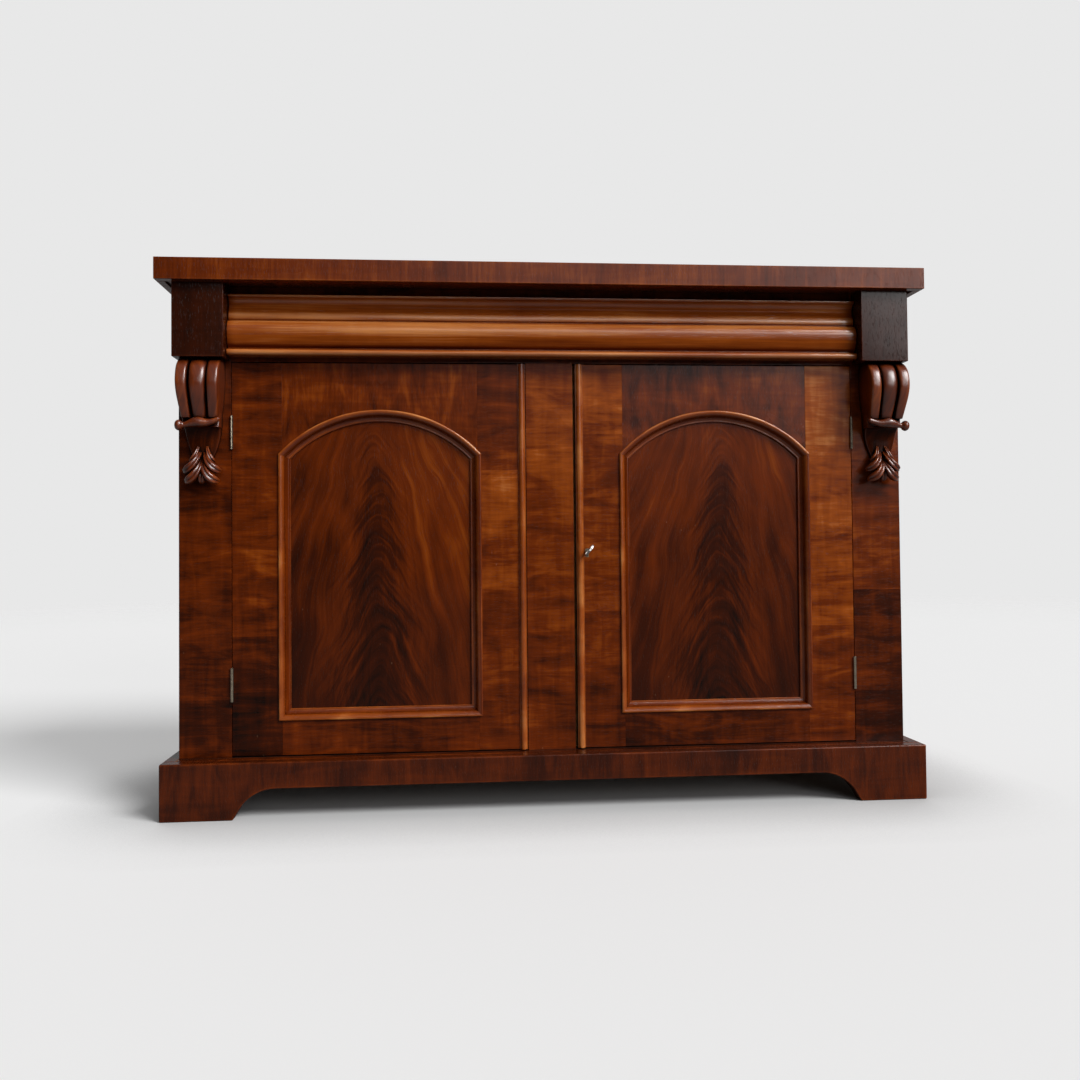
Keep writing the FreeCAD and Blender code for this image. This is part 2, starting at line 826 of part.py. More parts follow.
def panel(door):
    x_range, z_range = panel_bed(door, panel_clearance)
    return block(x_range, (panel_depth, panel_depth + panel_thickness), z_range)


def rebated(member, door):
    x_range, z_range = panel_bed(door, 0)
    return member.cut(block(x_range, (panel_depth, door_thickness), z_range))


def tenons(door, low, high):
    """Tenons at both ends of a rail between two heights, in the wood in front of the panel."""
    start = door.half - moulding_lap
    depths = tenon_front_cheek, panel_depth - tenon_rear_cheek
    span = depths, (low + tenon_shoulder, high - tenon_shoulder)
    return [block((door.centre - start - tenon_length, door.centre - start), *span),
            block((door.centre + start, door.centre + start + tenon_length), *span)]


def top_tenons(door):
    return tenons(door, door.spring(moulding_lap), door_top)


def bottom_tenons(door):
    return tenons(door, door_bottom, door.low + moulding_lap)


def stiles(door):
    """Left and right stile, mortised for both rails."""
    opening = door.half - moulding_lap
    mortises = Part.makeCompound(top_tenons(door) + bottom_tenons(door))
    left = block((door.left, door.centre - opening), (0, door_thickness), (door_bottom, door_top))
    right = block((door.centre + opening, door.right), (0, door_thickness), (door_bottom, door_top))
    return rebated(left, door).cut(mortises), rebated(right, door).cut(mortises)


def bottom_rail(door):
    opening = door.half - moulding_lap
    rail = block((door.centre - opening, door.centre + opening), (0, door_thickness),
                 (door_bottom, door.low + moulding_lap))
    return joined([rebated(rail, door)] + bottom_tenons(door))


def top_rail(door):
    """Top rail with its lower edge sawn to the arch."""
    opening = door.half - moulding_lap
    spring = door.spring(moulding_lap)
    crown = door.crown - moulding_lap
    rail = prism([
        door.place(-opening, spring), (door.place(0, crown), door.place(opening, spring)),
        door.place(opening, door_top), door.place(-opening, door_top),
    ], Vector(0, door_thickness, 0))
    return joined([rebated(rail, door)] + top_tenons(door))


def moulding_section(place):
    """Section of the bolection: place(u, d) puts a point u in from its outer edge, at depth d.

    A quarter oval rises from the square edge to the crest, a larger one falls from there to
    the quirk, and half an oval makes the bead. Each is worked in flats.
    """
    quirk = panel_depth - moulding_quirk_height
    bead_start = moulding_width - moulding_bead_width
    foot = bead_start - moulding_quirk_width
    rise = moulding_proud - moulding_edge
    run = foot - moulding_crest
    fall = quirk + moulding_proud
    bead_half = moulding_bead_width / 2

    def turn(degrees):
        return math.cos(math.radians(degrees)), math.sin(math.radians(degrees))

    outer = [place(moulding_crest * (1 - c), -moulding_edge - rise * s) for c, s in map(turn, (45, 90))]
    inner = [place(moulding_crest + run * s, -moulding_proud + fall * (1 - c))
             for c, s in map(turn, (30, 60, 90))]
    bead = [place(bead_start + bead_half * (1 - c), quirk - moulding_bead_rise * s)
            for c, s in map(turn, (0, 45, 90, 135, 180))]
    return ([place(0, 0), place(0, -moulding_edge)] + outer + inner + bead
            + [place(moulding_width, panel_depth), place(moulding_lap, panel_depth), place(moulding_lap, 0)])


def mitre_box(door, corners):
    """Upright prism over an outline on the door's face, deep enough for the whole moulding."""
    reach = moulding_proud + door_thickness
    points = [door.place(x, z) - Vector(0, reach, 0) for x, z in corners]
    return prism(points, Vector(0, 2 * reach, 0))


def moulding_corners(door):
    inner = door.half - moulding_width
    return {
        "low_out": (door.half, door.low), "low_in": (inner, door.low + moulding_width),
        "spring_out": (door.half, door.spring(0)), "spring_in": (inner, door.spring(moulding_width)),
    }


def side_moulding(door, side):
    """Upright length of panel moulding: side is -1 on the left and 1 on the right."""
    corner = moulding_corners(door)
    start = door.low

    def place(u, d):
        return Vector(door.centre + side * (door.half - u), depth(d), start)

    strip = prism(moulding_section(place), Vector(0, 0, door.crown - start))
    cut_line = [corner["low_out"], corner["low_in"], corner["spring_in"], corner["spring_out"]]
    return strip.common(mitre_box(door, [(side * x, z) for x, z in cut_line]))


def bottom_moulding(door):
    corner = moulding_corners(door)

    def place(u, d):
        return Vector(door.centre - door.half, depth(d), door.low + u)

    strip = prism(moulding_section(place), Vector(2 * door.half, 0, 0))
    out, inn = corner["low_out"], corner["low_in"]
    return strip.common(mitre_box(door, [(-out[0], out[1]), out, inn, (-inn[0], inn[1])]))


def arch_moulding(door):
    """Arched length, turned about the arch's centre and mitred at both springings."""
    corner = moulding_corners(door)

    def place(u, d):
        return Vector(door.centre, depth(d), door.arch_z + door.radius - u)

    half_turn = math.degrees(math.asin(door.half / door.radius)) + 10
    section = Part.Face(outline(moulding_section(place)))
    centre = Vector(door.centre, 0, door.arch_z)
    section.rotate(centre, Vector(0, 1, 0), -half_turn)
    ring = section.revolve(centre, Vector(0, 1, 0), 2 * half_turn)
    out, inn = corner["spring_out"], corner["spring_in"]
    above = door.crown + moulding_width
    keep = mitre_box(door, [(-out[0], out[1]), (-inn[0], inn[1]), inn, out,
                            (out[0], above), (-out[0], above)])
    return ring.common(keep)


def astragal(edge, side):
    """Half-round bead on the closing stile; side points from the edge on to the door."""
    def place(u, d):
        return Vector(edge + side * u, depth(d), door_bottom)

    return prism([
        place(0, 0), place(0, -astragal_edge), place(astragal_fillet, -astragal_edge),
        (place(astragal_width / 2, -astragal_height),
         place(astragal_width - astragal_fillet, -astragal_edge)),
        place(astragal_width, -astragal_edge), place(astragal_width, 0),
    ], Vector(0, 0, door_top - door_bottom))


def save_door(side, door, hinge_stile, closing_stile, bead):
    save(side + "_hinge_stile", hinge_stile)
    save(side + "_closing_stile", closing_stile)
    save(side + "_top_rail", top_rail(door))
    save(side + "_bottom_rail", bottom_rail(door))
    save(side + "_panel", panel(door))
    save(side + "_arch_moulding", arch_moulding(door))
    save(side + "_straight_mouldings", side_moulding(door, -1), bottom_moulding(door), side_moulding(door, 1))
    save(side + "_astragal", bead)


# ---------------------------------------------------------------- drawer
def drawer_box_levels():
    return lower_rail_top, upper_rail_bottom - drawer_clear_height


def drawer_half():
    return opening_half - drawer_side_gap


def drawer_front():
    """Ogee front: a lip bead, a full belly, and a hollow under the top fillet."""
    end = block_inner - drawer_end_gap
    low = block_z + drawer_lift
    high = low + drawer_front_height

    def place(projection, z):
        return Vector(-end, depth(-projection), z)

    lip_top = low + lip_diameter
    belly_low = lip_top + lip_quirk_height
    belly_high = belly_low + belly_height
    belly_full = belly_low + belly_full_height
    quirk_top = belly_high + hollow_quirk_height
    fillet_top = quirk_top + hollow_fillet_height
    hollow_top = high - top_fillet_height
    lip_centre = lip_projection - lip_diameter / 2
    rise = belly_high - belly_full
    swell = belly_projection - hollow_fillet_projection
    sweep = top_fillet_projection - hollow_fillet_projection
    quarter = math.sin(math.pi / 4)
    face = prism([
        place(drawer_face_gap, low), place(lip_centre, low),
        (place(lip_projection, low + lip_diameter / 2), place(lip_centre, lip_top)),
        place(lip_quirk_projection, lip_top), place(lip_quirk_projection, belly_low),
        place(belly_foot_projection, belly_low),
        (place((belly_foot_projection + belly_projection) / 2 + belly_foot_round,
               (belly_low + belly_full) / 2),
         place(belly_projection, belly_full)),
        (place(belly_projection - (1 - quarter) * swell, belly_full + quarter * rise),
         place(hollow_fillet_projection, belly_high)),
        place(hollow_quirk_projection, belly_high), place(hollow_quirk_projection, quirk_top),
        place(hollow_fillet_projection, quirk_top), place(hollow_fillet_projection, fillet_top),
        (place(hollow_fillet_projection + (1 - quarter) * sweep,
               fillet_top + quarter * (hollow_top - fillet_top)),
         place(top_fillet_projection, hollow_top)),
        place(top_fillet_projection, high), place(drawer_face_gap, high),
    ], Vector(2 * end, 0, 0))
    box_low, box_high = drawer_box_levels()
    inner = block((-drawer_half(), drawer_half()), (-drawer_face_gap, drawer_inner_front),
                  (box_low, box_high))
    groove_low = box_low + drawer_bottom_rise
    reach = drawer_half() - drawer_side_thickness + drawer_groove
    groove = block((-reach, reach), (drawer_inner_front - drawer_groove, drawer_inner_front),
                   (groove_low, groove_low + drawer_bottom_thickness))
    sockets = lapped_tails()
    sockets += [mirrored(tail) for tail in sockets]
    return joined([face, inner]).cut(groove).cut(Part.makeCompound(sockets))


def tails(count, root, end, z_range):
    """Dovetails of the right-hand drawer side, from their root's depth to their end's."""
    outer = drawer_half()
    low, high = z_range
    pitch = (high - low) / count
    solids = []
    for index in range(count):
        middle = low + (index + 0.5) * pitch
        wide = tail_width / 2
        narrow = wide - tail_flare
        corners = [(root, -narrow), (end, -wide), (end, wide), (root, narrow)]
        face = [Vector(outer - drawer_side_thickness, depth(d), middle + z) for d, z in corners]
        solids.append(prism(face, Vector(drawer_side_thickness, 0, 0)))
    return solids


def lapped_tails():
    return tails(lap_tail_count, drawer_inner_front, drawer_inner_front - lap_tail_length,
                 drawer_box_levels())


def drawer_side():
    """Right-hand side with its dovetails, grooved inside for the bottoms."""
    low, high = drawer_box_levels()
    outer = drawer_half()
    inner = outer - drawer_side_thickness
    side = block((inner, outer), (drawer_inner_front, drawer_length), (low, high))
    groove_low = low + drawer_bottom_rise
    groove = block((inner, inner + drawer_groove), (drawer_inner_front - drawer_groove, drawer_length),
                   (groove_low, groove_low + drawer_bottom_thickness))
    return joined([side] + lapped_tails()).cut(groove).cut(drawer_back())


def drawer_back():
    """Back with pins between the sides' tails, over the rear edge of the bottoms."""
    low, high = drawer_box_levels()
    half = drawer_half()
    front = drawer_length - drawer_side_thickness
    z_range = low + drawer_bottom_rise + drawer_bottom_thickness, high - drawer_back_drop
    board = block((-half, half), (front, drawer_length), z_range)
    sockets = tails(through_tail_count, front, drawer_length, z_range)
    return board.cut(Part.makeCompound(sockets + [mirrored(tail) for tail in sockets]))


def drawer_bottoms():
    """Two panels, from the front's groove to under the back, on each side of the muntin."""
    low = drawer_box_levels()[0] + drawer_bottom_rise
    reach = drawer_half() - drawer_side_thickness + drawer_groove
    inner = drawer_muntin_width / 2 - drawer_groove
    right = block((inner, reach), (drawer_inner_front - drawer_groove, drawer_length),
                  (low, low + drawer_bottom_thickness))
    return mirrored(right), right


def drawer_muntin():
    """Bar under the middle of the drawer, grooved on both edges for the bottoms."""
    low, _ = drawer_box_levels()
    groove_low = low + drawer_bottom_rise
    half = drawer_muntin_width / 2
    top = groove_low + drawer_bottom_thickness + drawer_muntin_rise
    end = drawer_length - drawer_side_thickness
    bar = block((-half, half), (drawer_inner_front, end), (low + drawer_muntin_lift, top))
    return bar.cut(Part.makeCompound(list(drawer_bottoms())))


# ---------------------------------------------------------------- the whole piece
def save_carcass():
    save("top_board", top_board())
    save("side_right", carcass_side())
    save("side_left", mirrored(carcass_side()))
    save("bottom_board", bottom_board())
    save("back_boards", *back_boards())
    save("pilaster_right", pilaster())
    save("pilaster_left", mirrored(pilaster()))
    save("frieze_block_right", frieze_block())
    save("frieze_block_left", mirrored(frieze_block()))
    carving = corbel()
    save("corbel_right", carving)
    save("corbel_left", mirrored(carving))
    save("upper_rail", upper_rail())
    save("lower_rail", lower_rail())
    save("dust_board", dust_board())
    save("drawer_runners", drawer_runner(), mirrored(drawer_runner()))
    save("drawer_kickers", drawer_kicker(), mirrored(drawer_kicker()))
    save("centre_muntin", centre_muntin())
    save("door_stop", door_stop())
    save("shelf", shelf())
    save("shelf_bearers", shelf_bearer(), mirrored(shelf_bearer()))


def save_plinth():
    save("plinth_front", plinth_front())
    save("plinth_side_right", plinth_side())
    save("plinth_side_left", mirrored(plinth_side()))
    save("plinth_back", plinth_back())
    save("plinth_ledge", plinth_ledge())
    save("plinth_blocks", *plinth_blocks())


def save_doors():
    left_door = Door(-opening_half + door_hinge_gap, -muntin_half - left_closing_gap)
    right_door = Door(muntin_half + right_closing_gap, opening_half - door_hinge_gap)
    pockets = Part.makeCompound([hinge_pocket(centre, on_door=True) for centre in hinge_centres()])
    outer, closing = stiles(left_door)
    save_door("left", left_door, outer.cut(mirrored(pockets)), closing, astragal(left_door.right, -1))
    closing, outer = stiles(right_door)
    x_range, z_range = lock_span()
    lock_bed = block(x_range, (lock_front(), door_thickness), z_range)
    mortised = closing.cut(lock_bed).cut(keyhole(0, 0, lock_front()))
    mortised = mortised.cut(keyhole(escutcheon_wall, 0, escutcheon_depth))
    save_door("right", right_door, outer.cut(pockets), mortised, astragal(right_door.left, 1))


def save_hinges():
    frame_leaves = [hinge_leaf(centre, on_door=False) for centre in hinge_centres()]
    door_leaves = [hinge_leaf(centre, on_door=True) for centre in hinge_centres()]
    pins = [hinge_pin(centre) for centre in hinge_centres()]
    both_sides = [mirrored(leaf) for leaf in frame_leaves] + frame_leaves
    save("hinge_frame_leaves", *both_sides)
    save("hinge_pins", *([mirrored(pin) for pin in pins] + pins))
    save("right_hinge_leaves", *door_leaves)
    save("left_hinge_leaves", *[mirrored(leaf) for leaf in door_leaves])


def save_lock():
    save("lock_case", lock_case())
    save("lock_bolt", bolt_solid(travel=0, grow=0))
    save("key", key())
    save("escutcheon", escutcheon())
    save("left_bolt_cases", catch_case(), flipped(catch_case()))
    save("left_upper_bolt", catch_bar())
    save("left_lower_bolt", flipped(catch_bar()))


def save_drawer():
    save("drawer_front", drawer_front())
    save("drawer_side_right", drawer_side())
    save("drawer_side_left", mirrored(drawer_side()))
    save("drawer_back", drawer_back())
    save("drawer_bottoms", *drawer_bottoms())
    save("drawer_muntin", drawer_muntin())


os.makedirs("parts", exist_ok=True)
save_carcass()
save_plinth()
save_doors()
save_hinges()
save_lock()
save_drawer()
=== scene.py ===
# %% [markdown]
# # A Victorian mahogany chiffonier
# The carcass, doors, drawer and plinth come from the fixed frame: each board is already a
# solid of its own, at its real size. This lesson gives them their looks. Flat boards keep
# their shape and only get eased edges and veneer; mouldings and carving are worked out
# again as smooth surfaces, because light shows every facet of a polished curve. The
# brasswork keeps the frame's shapes and gets its finishes.

# %% Load the fixed frame
import json
import math

import bmesh
import bpy
import numpy as np
from mathutils import Matrix, Vector


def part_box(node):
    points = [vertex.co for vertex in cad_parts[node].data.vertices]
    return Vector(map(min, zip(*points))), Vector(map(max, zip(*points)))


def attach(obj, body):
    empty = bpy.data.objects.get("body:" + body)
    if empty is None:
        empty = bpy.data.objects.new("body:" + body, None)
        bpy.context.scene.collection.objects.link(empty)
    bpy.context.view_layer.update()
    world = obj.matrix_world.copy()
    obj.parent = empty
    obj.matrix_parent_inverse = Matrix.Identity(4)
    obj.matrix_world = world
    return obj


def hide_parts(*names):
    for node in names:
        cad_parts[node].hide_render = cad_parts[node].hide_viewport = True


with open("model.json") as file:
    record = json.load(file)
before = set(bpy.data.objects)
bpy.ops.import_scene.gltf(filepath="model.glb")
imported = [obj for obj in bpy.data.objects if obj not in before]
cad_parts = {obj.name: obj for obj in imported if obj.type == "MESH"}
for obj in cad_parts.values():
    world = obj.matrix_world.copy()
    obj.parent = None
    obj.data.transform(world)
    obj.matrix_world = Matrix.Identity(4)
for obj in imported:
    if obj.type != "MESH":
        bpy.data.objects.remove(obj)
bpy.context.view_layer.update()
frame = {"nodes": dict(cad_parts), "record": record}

boards = frame["nodes"]

# %% [markdown]
# ## Where the viewer stands
# The cupboard is seen from a low tripod, a little left of its middle, so the eye is below
# the top and the right-hand side is further away. A lens of 34 mm and a turn of 5 degrees
# give that view. The lens is shifted a touch, as on a view camera, so that the uprights
# stay nearly upright and the camera is hardly tilted.

# %% Camera
def placed(name, data):
    """A new object with this data, put in the scene."""
    piece = bpy.data.objects.new(name, data)
    bpy.context.scene.collection.objects.link(piece)
    return piece


eye = Vector((-0.1676, -1.9094, 0.4426))
turn_right = math.radians(4.90)
tilt_up = math.radians(1.33)
roll = math.radians(-0.53)
image_width = 1080.0
focal_pixels = 1009.4
axis_above_middle = 15.6

lens = bpy.data.cameras.new("camera")
lens.sensor_width = 36.0
lens.lens = lens.sensor_width * focal_pixels / image_width
lens.shift_y = -axis_above_middle / image_width
camera = placed("camera", lens)
camera.matrix_world = (Matrix.Translation(eye) @ Matrix.Rotation(-turn_right, 4, "Z")
                       @ Matrix.Rotation(math.pi / 2 + tilt_up, 4, "X") @ Matrix.Rotation(roll, 4, "Z"))
bpy.context.scene.camera = camera
bpy.context.scene.view_settings.view_transform = "Standard"
print("lens %.2f mm" % lens.lens)

# %% [markdown]
# ## Short spellings for shader nodes
# A wood finish is a long sum of small effects: figure, streaks, pores, patches of veneer.
# Built by hand, each effect would be four lines of node calls. The classes below give each
# kind of node a short method, so that a finish reads like a recipe. Every pattern is read
# from Object coordinates, so it stays on its board when a door swings.

# %% Recipes and finishes
class Recipe:
    """Short methods that add nodes to a material or a world."""

    def __init__(self, owner, place):
        owner.use_nodes = True
        self.tree = owner.node_tree
        self.coordinates = self.add("ShaderNodeTexCoord").outputs
        self.place = self.coordinates[place]

    def add(self, kind, **settings):
        """A new node with these settings."""
        node = self.tree.nodes.new(kind)
        for name, value in settings.items():
            setattr(node, name, value)
        return node

    def put(self, socket, value):
        """Link another node's output to a socket, or set a plain value on it."""
        if isinstance(value, bpy.types.NodeSocket):
            self.tree.links.new(value, socket)
        else:
            socket.default_value = value

    def math(self, operation, a, b=0.0, clamp=False):
        node = self.add("ShaderNodeMath", operation=operation, use_clamp=clamp)
        self.put(node.inputs[0], a)
        self.put(node.inputs[1], b)
        return node.outputs[0]

    def plus(self, a, b):
        return self.math("ADD", a, b)

    def minus(self, a, b):
        return self.math("SUBTRACT", a, b)

    def times(self, a, b):
        return self.math("MULTIPLY", a, b)

    def over(self, a, b):
        return self.math("DIVIDE", a, b)

    def total(self, *terms):
        """Sum of (value, weight) pairs."""
        result = 0.0
        for value, weight in terms:
            result = self.plus(result, self.times(value, weight))
        return result

    def axes(self, vector=None):
        """The x, y and z of a vector, or of place."""
        node = self.add("ShaderNodeSeparateXYZ")
        self.put(node.inputs[0], vector or self.place)
        return node.outputs

    def joined(self, x, y, z):
        node = self.add("ShaderNodeCombineXYZ")
        for socket, value in zip(node.inputs, (x, y, z)):
            self.put(socket, value)
        return node.outputs[0]

    def stretched(self, scale, shift=(0, 0, 0), vector=None):
        """The vector, or place, times scale plus shift."""
        node = self.add("ShaderNodeMapping")
        self.put(node.inputs["Vector"], vector or self.place)
        self.put(node.inputs["Scale"], scale)
        self.put(node.inputs["Location"], shift)
        return node.outputs[0]

    def noise(self, vector, detail=2.0, rough=0.5, swirl=0.0, scale=1.0):
        """Cloudy noise about 0, roughly from -1 to 1: (noise - 0.5) * 3.2."""
        node = self.add("ShaderNodeTexNoise")
        for name, value in (("Vector", vector), ("Scale", scale), ("Detail", detail),
                            ("Roughness", rough), ("Distortion", swirl)):
            self.put(node.inputs[name], value)
        centred = self.minus(node.outputs["Fac"], 0.5)
        return self.times(centred, 3.2)

    def remapped(self, value, low, high, to_low=0.0, to_high=1.0):
        """Eased from to_low at low to to_high at high: 3 s^2 - 2 s^3, s the share of the way."""
        node = self.add("ShaderNodeMapRange", interpolation_type="SMOOTHSTEP")
        for index, number in enumerate((value, low, high, to_low, to_high)):
            self.put(node.inputs[index], number)
        return node.outputs[0]

    def ramp(self, value, stops, kind="LINEAR"):
        """Colours, or plain numbers, along a scale from 0 to 1."""
        node = self.add("ShaderNodeValToRGB")
        node.color_ramp.interpolation = kind
        points = node.color_ramp.elements
        while len(points) < len(stops):
            points.new(0.5)
        for point, (position, colour) in zip(points, stops):
            point.position = position
            point.color = (*colour, 1.0) if isinstance(colour, tuple) else (colour,) * 3 + (1.0,)
        self.put(node.inputs[0], value)
        return node.outputs[0]

    def mix(self, share, a, b):
        """Colour a where share is 0, b where it is 1. Sockets 6 and 7 are the colours of a Mix node."""
        node = self.add("ShaderNodeMix", data_type="RGBA")
        self.put(node.inputs["Factor"], share)
        for index, colour in ((6, a), (7, b)):
            if not isinstance(colour, bpy.types.NodeSocket):
                colour = (*colour, 1.0)
            self.put(node.inputs[index], colour)
        return node.outputs[2]

    def distance(self, vector):
        node = self.add("ShaderNodeVectorMath", operation="LENGTH")
        self.put(node.inputs[0], vector)
        return node.outputs["Value"]


class Finish(Recipe):
    """A material and its principled shader."""

    def __init__(self, name, **sockets):
        self.material = bpy.data.materials.new(name)
        super().__init__(self.material, "Object")
        self.facing = self.coordinates["Normal"]
        self.shader = self.tree.nodes["Principled BSDF"]
        for socket, value in sockets.items():
            self.put(self.shader.inputs[socket.replace("_", " ")], value)

    def bump(self, height, depth, strength):
        node = self.add("ShaderNodeBump")
        self.put(node.inputs["Height"], height)
        self.put(node.inputs["Distance"], depth)
        self.put(node.inputs["Strength"], strength)
        self.put(self.shader.inputs["Normal"], node.outputs[0])

    def wear(self, node_names):
        """Give this finish to CAD nodes."""
        for name in node_names:
            boards[name].data.materials.clear()
            boards[name].data.materials.append(self.material)


print("finish helper ready")

# %% [markdown]
# ## Studio floor and light
# The floor is pale and plain to the eye and in reflections, and much darker as a source of
# bounced light, because a polished cupboard looks flat when its undersides are lit from
# below. The world shows the same pale grey to the camera, and reflects bright only from the
# back; the room in front of the cupboard stays dim, as French polish needs dark surroundings
# to look deep. A large soft key lamp stands high on the right and a weak fill lamp on the
# left; a low window lamp and a sheen lamp draw the bright lines along the mouldings.

# %% Floor
PALE = 0.807
floor_reach = 9.0
fade_from, fade_to = 4.0, 8.0
seen_share = 0.42
mirrored_share = 0.15
seen_colour, bounce_colour = 0.950, 0.15
shadow_reach, shadow_power = 0.26, 4.2

bpy.ops.mesh.primitive_grid_add(x_subdivisions=2, y_subdivisions=2, size=2 * floor_reach)
floor = bpy.context.object
floor.name = "floor"

paint = Finish("studio_floor", Roughness=0.9, Specular_IOR_Level=0.0)
glow = paint.add("ShaderNodeEmission")
closeness = paint.add("ShaderNodeAmbientOcclusion", samples=8)
closeness.inputs["Distance"].default_value = shadow_reach
# The floor's glow is dimmed by ambient occlusion near the cupboard: a painted shadow, added to the real
# one.
shade = paint.times(paint.math("POWER", closeness.outputs["AO"], shadow_power), PALE)
paint.put(glow.inputs["Strength"], shade)
rays = paint.add("ShaderNodeLightPath").outputs
mirrored = paint.times(rays["Is Glossy Ray"], mirrored_share)
seen = paint.math("MAXIMUM", rays["Is Camera Ray"],
                  paint.math("MAXIMUM", mirrored, rays["Is Transmission Ray"]))
paint.put(paint.shader.inputs["Base Color"], paint.mix(seen, (bounce_colour,) * 3, (seen_colour,) * 3))
lit = paint.add("ShaderNodeMixShader")
paint.put(lit.inputs[0], paint.times(seen, seen_share))
paint.put(lit.inputs[1], paint.shader.outputs[0])
paint.put(lit.inputs[2], glow.outputs[0])
faded = paint.add("ShaderNodeMixShader")
paint.put(faded.inputs[0], paint.remapped(paint.distance(paint.place), fade_from, fade_to))
paint.put(faded.inputs[1], lit.outputs[0])
paint.put(faded.inputs[2], paint.add("ShaderNodeBsdfTransparent").outputs[0])
paint.put(paint.tree.nodes["Material Output"].inputs[0], faded.outputs[0])
floor.data.materials.append(paint.material)
print("floor half width:", floor_reach)

# %% World
room_light, back_light = 0.035, 0.36
back_starts, back_full = 0.0, 0.6

bpy.context.scene.world = bpy.data.worlds.new("studio")
studio = Recipe(bpy.context.scene.world, "Generated")
rays = studio.add("ShaderNodeLightPath").outputs
shown = studio.math("MAXIMUM", rays["Is Camera Ray"], rays["Is Transmission Ray"])
behind = studio.add("ShaderNodeMapRange")
for index, value in enumerate((studio.axes()[1], back_starts, back_full, room_light, back_light)):
    studio.put(behind.inputs[index], value)
choice = studio.add("ShaderNodeMix")
for socket, value in (("Factor", shown), (2, behind.outputs[0]), (3, PALE)):
    studio.put(choice.inputs[socket], value)
surface = studio.tree.nodes["Background"].inputs
studio.put(surface["Strength"], choice.outputs[0])
studio.put(surface["Color"], (1.0, 1.0, 1.0, 1.0))
print("room %.3f, back %.2f" % (room_light, back_light))


# %% Lamps
def sun(name, bearing, height, strength, spread):
    """A soft lamp far away: bearing in degrees right of straight in front, height in degrees."""
    lamp = bpy.data.lights.new(name, "SUN")
    lamp.energy = strength
    lamp.angle = math.radians(spread)
    a, h = math.radians(bearing), math.radians(height)
    towards = Vector((math.sin(a) * math.cos(h), -math.cos(a) * math.cos(h), math.sin(h)))
    placed(name, lamp).rotation_euler = towards.to_track_quat("Z", "Y").to_euler()


sun("key_lamp", 48, 39, 3.25, 26)
sun("fill_lamp", -12, 60, 0.14, 60)
sun("window_lamp", 29, 16, 0.50, 20)
sun("sheen_lamp", 8, 21, 0.25, 25)
print("lamps placed")

# %% [markdown]
# ## Mahogany
# Old mahogany is a red-brown that swings between near black and bright orange along one
# scale. So every wooden part works out one number, its tone, and one ramp turns tone into
# colour. Tone is the sum of broad figure, fine streaks along the grain, a ripple across it
# and the patch of veneer that the spot belongs to.

# %% Tone to colour
MAHOGANY = [
    (0.00, (0.006, 0.0020, 0.0010)),
    (0.25, (0.040, 0.0062, 0.0009)),
    (0.50, (0.130, 0.0195, 0.0014)),
    (0.75, (0.290, 0.0600, 0.0050)),
    (1.00, (0.560, 0.2000, 0.0500)),
]
GRIME = (0.010, 0.004, 0.002)
BARE = (0.42, 0.22, 0.12)
UNPOLISHED = (0.150, 0.070, 0.032)
ramp_height = 1.0
inner_faces_from = 0.605
arris_reach = 0.004


def drawn(along, lengthwise, crosswise):
    """Scale of a pattern drawn out along X, Y or Z."""
    return tuple(lengthwise if axis == along else crosswise for axis in "xyz")


def grain(wood, along, seed, waviness=0.6):
    """Blotches, streaks and ripple of a board whose grain runs along X, Y or Z.

    Noise is squeezed across the grain and drawn out along it. Soft blotches about 60 mm long
    and 25 mm wide carry the figure, thin streaks lie over them, and a ripple crosses both.
    """
    shift = (seed * 1.7, seed * 2.3, seed * 3.1)
    figure = wood.noise(wood.stretched(drawn(along, 9, 30), shift), 3.0, 0.55, waviness)
    streaks = wood.noise(wood.stretched(drawn(along, 9, 120), shift), 3.0, 0.6, waviness)
    ripple = wood.noise(wood.stretched(drawn(along, 70, 9), shift), 2.0, 0.5, 0.8)
    return figure, streaks, ripple


def pores(wood, along, seed):
    """Open pores: short dark dashes along the grain, used for colour and for bump."""
    speckle = wood.noise(wood.stretched(drawn(along, 110, 900), (seed, seed, seed)), 1.0)
    return wood.remapped(speckle, 0.35, 0.9)


def nicks(wood, seed, amount=1.0):
    """Small pale chips and scratches that show against the polish."""
    dots = wood.add("ShaderNodeTexVoronoi", feature="F1")
    wood.put(dots.inputs["Vector"], wood.stretched((1, 1, 0.6), (seed, seed, seed)))
    wood.put(dots.inputs["Scale"], 60.0)
    chance = wood.noise(wood.stretched((9, 9, 9), (seed, 0, 0)))
    near = wood.remapped(dots.outputs["Distance"], 0.03, 0.09, 1.0, 0.0)
    there = wood.times(wood.remapped(chance, 0.30, 0.75), amount)
    return wood.math("MULTIPLY", near, there, clamp=True)


def looks_back(wood):
    """1 on faces that look to the back."""
    return wood.remapped(wood.axes(wood.facing)[1], 0.4, 0.6)


def looks_inside(wood):
    """1 on faces that look to the back, and on inward faces of the boards outside inner_faces_from."""
    x = wood.axes()[0]
    inwards = wood.times(wood.axes(wood.facing)[0], wood.math("SIGN", x))
    outermost = wood.math("GREATER_THAN", wood.math("ABSOLUTE", x), inner_faces_from)
    inner = wood.times(wood.remapped(inwards, -0.4, -0.6), outermost)
    return wood.math("MAXIMUM", looks_back(wood), inner)


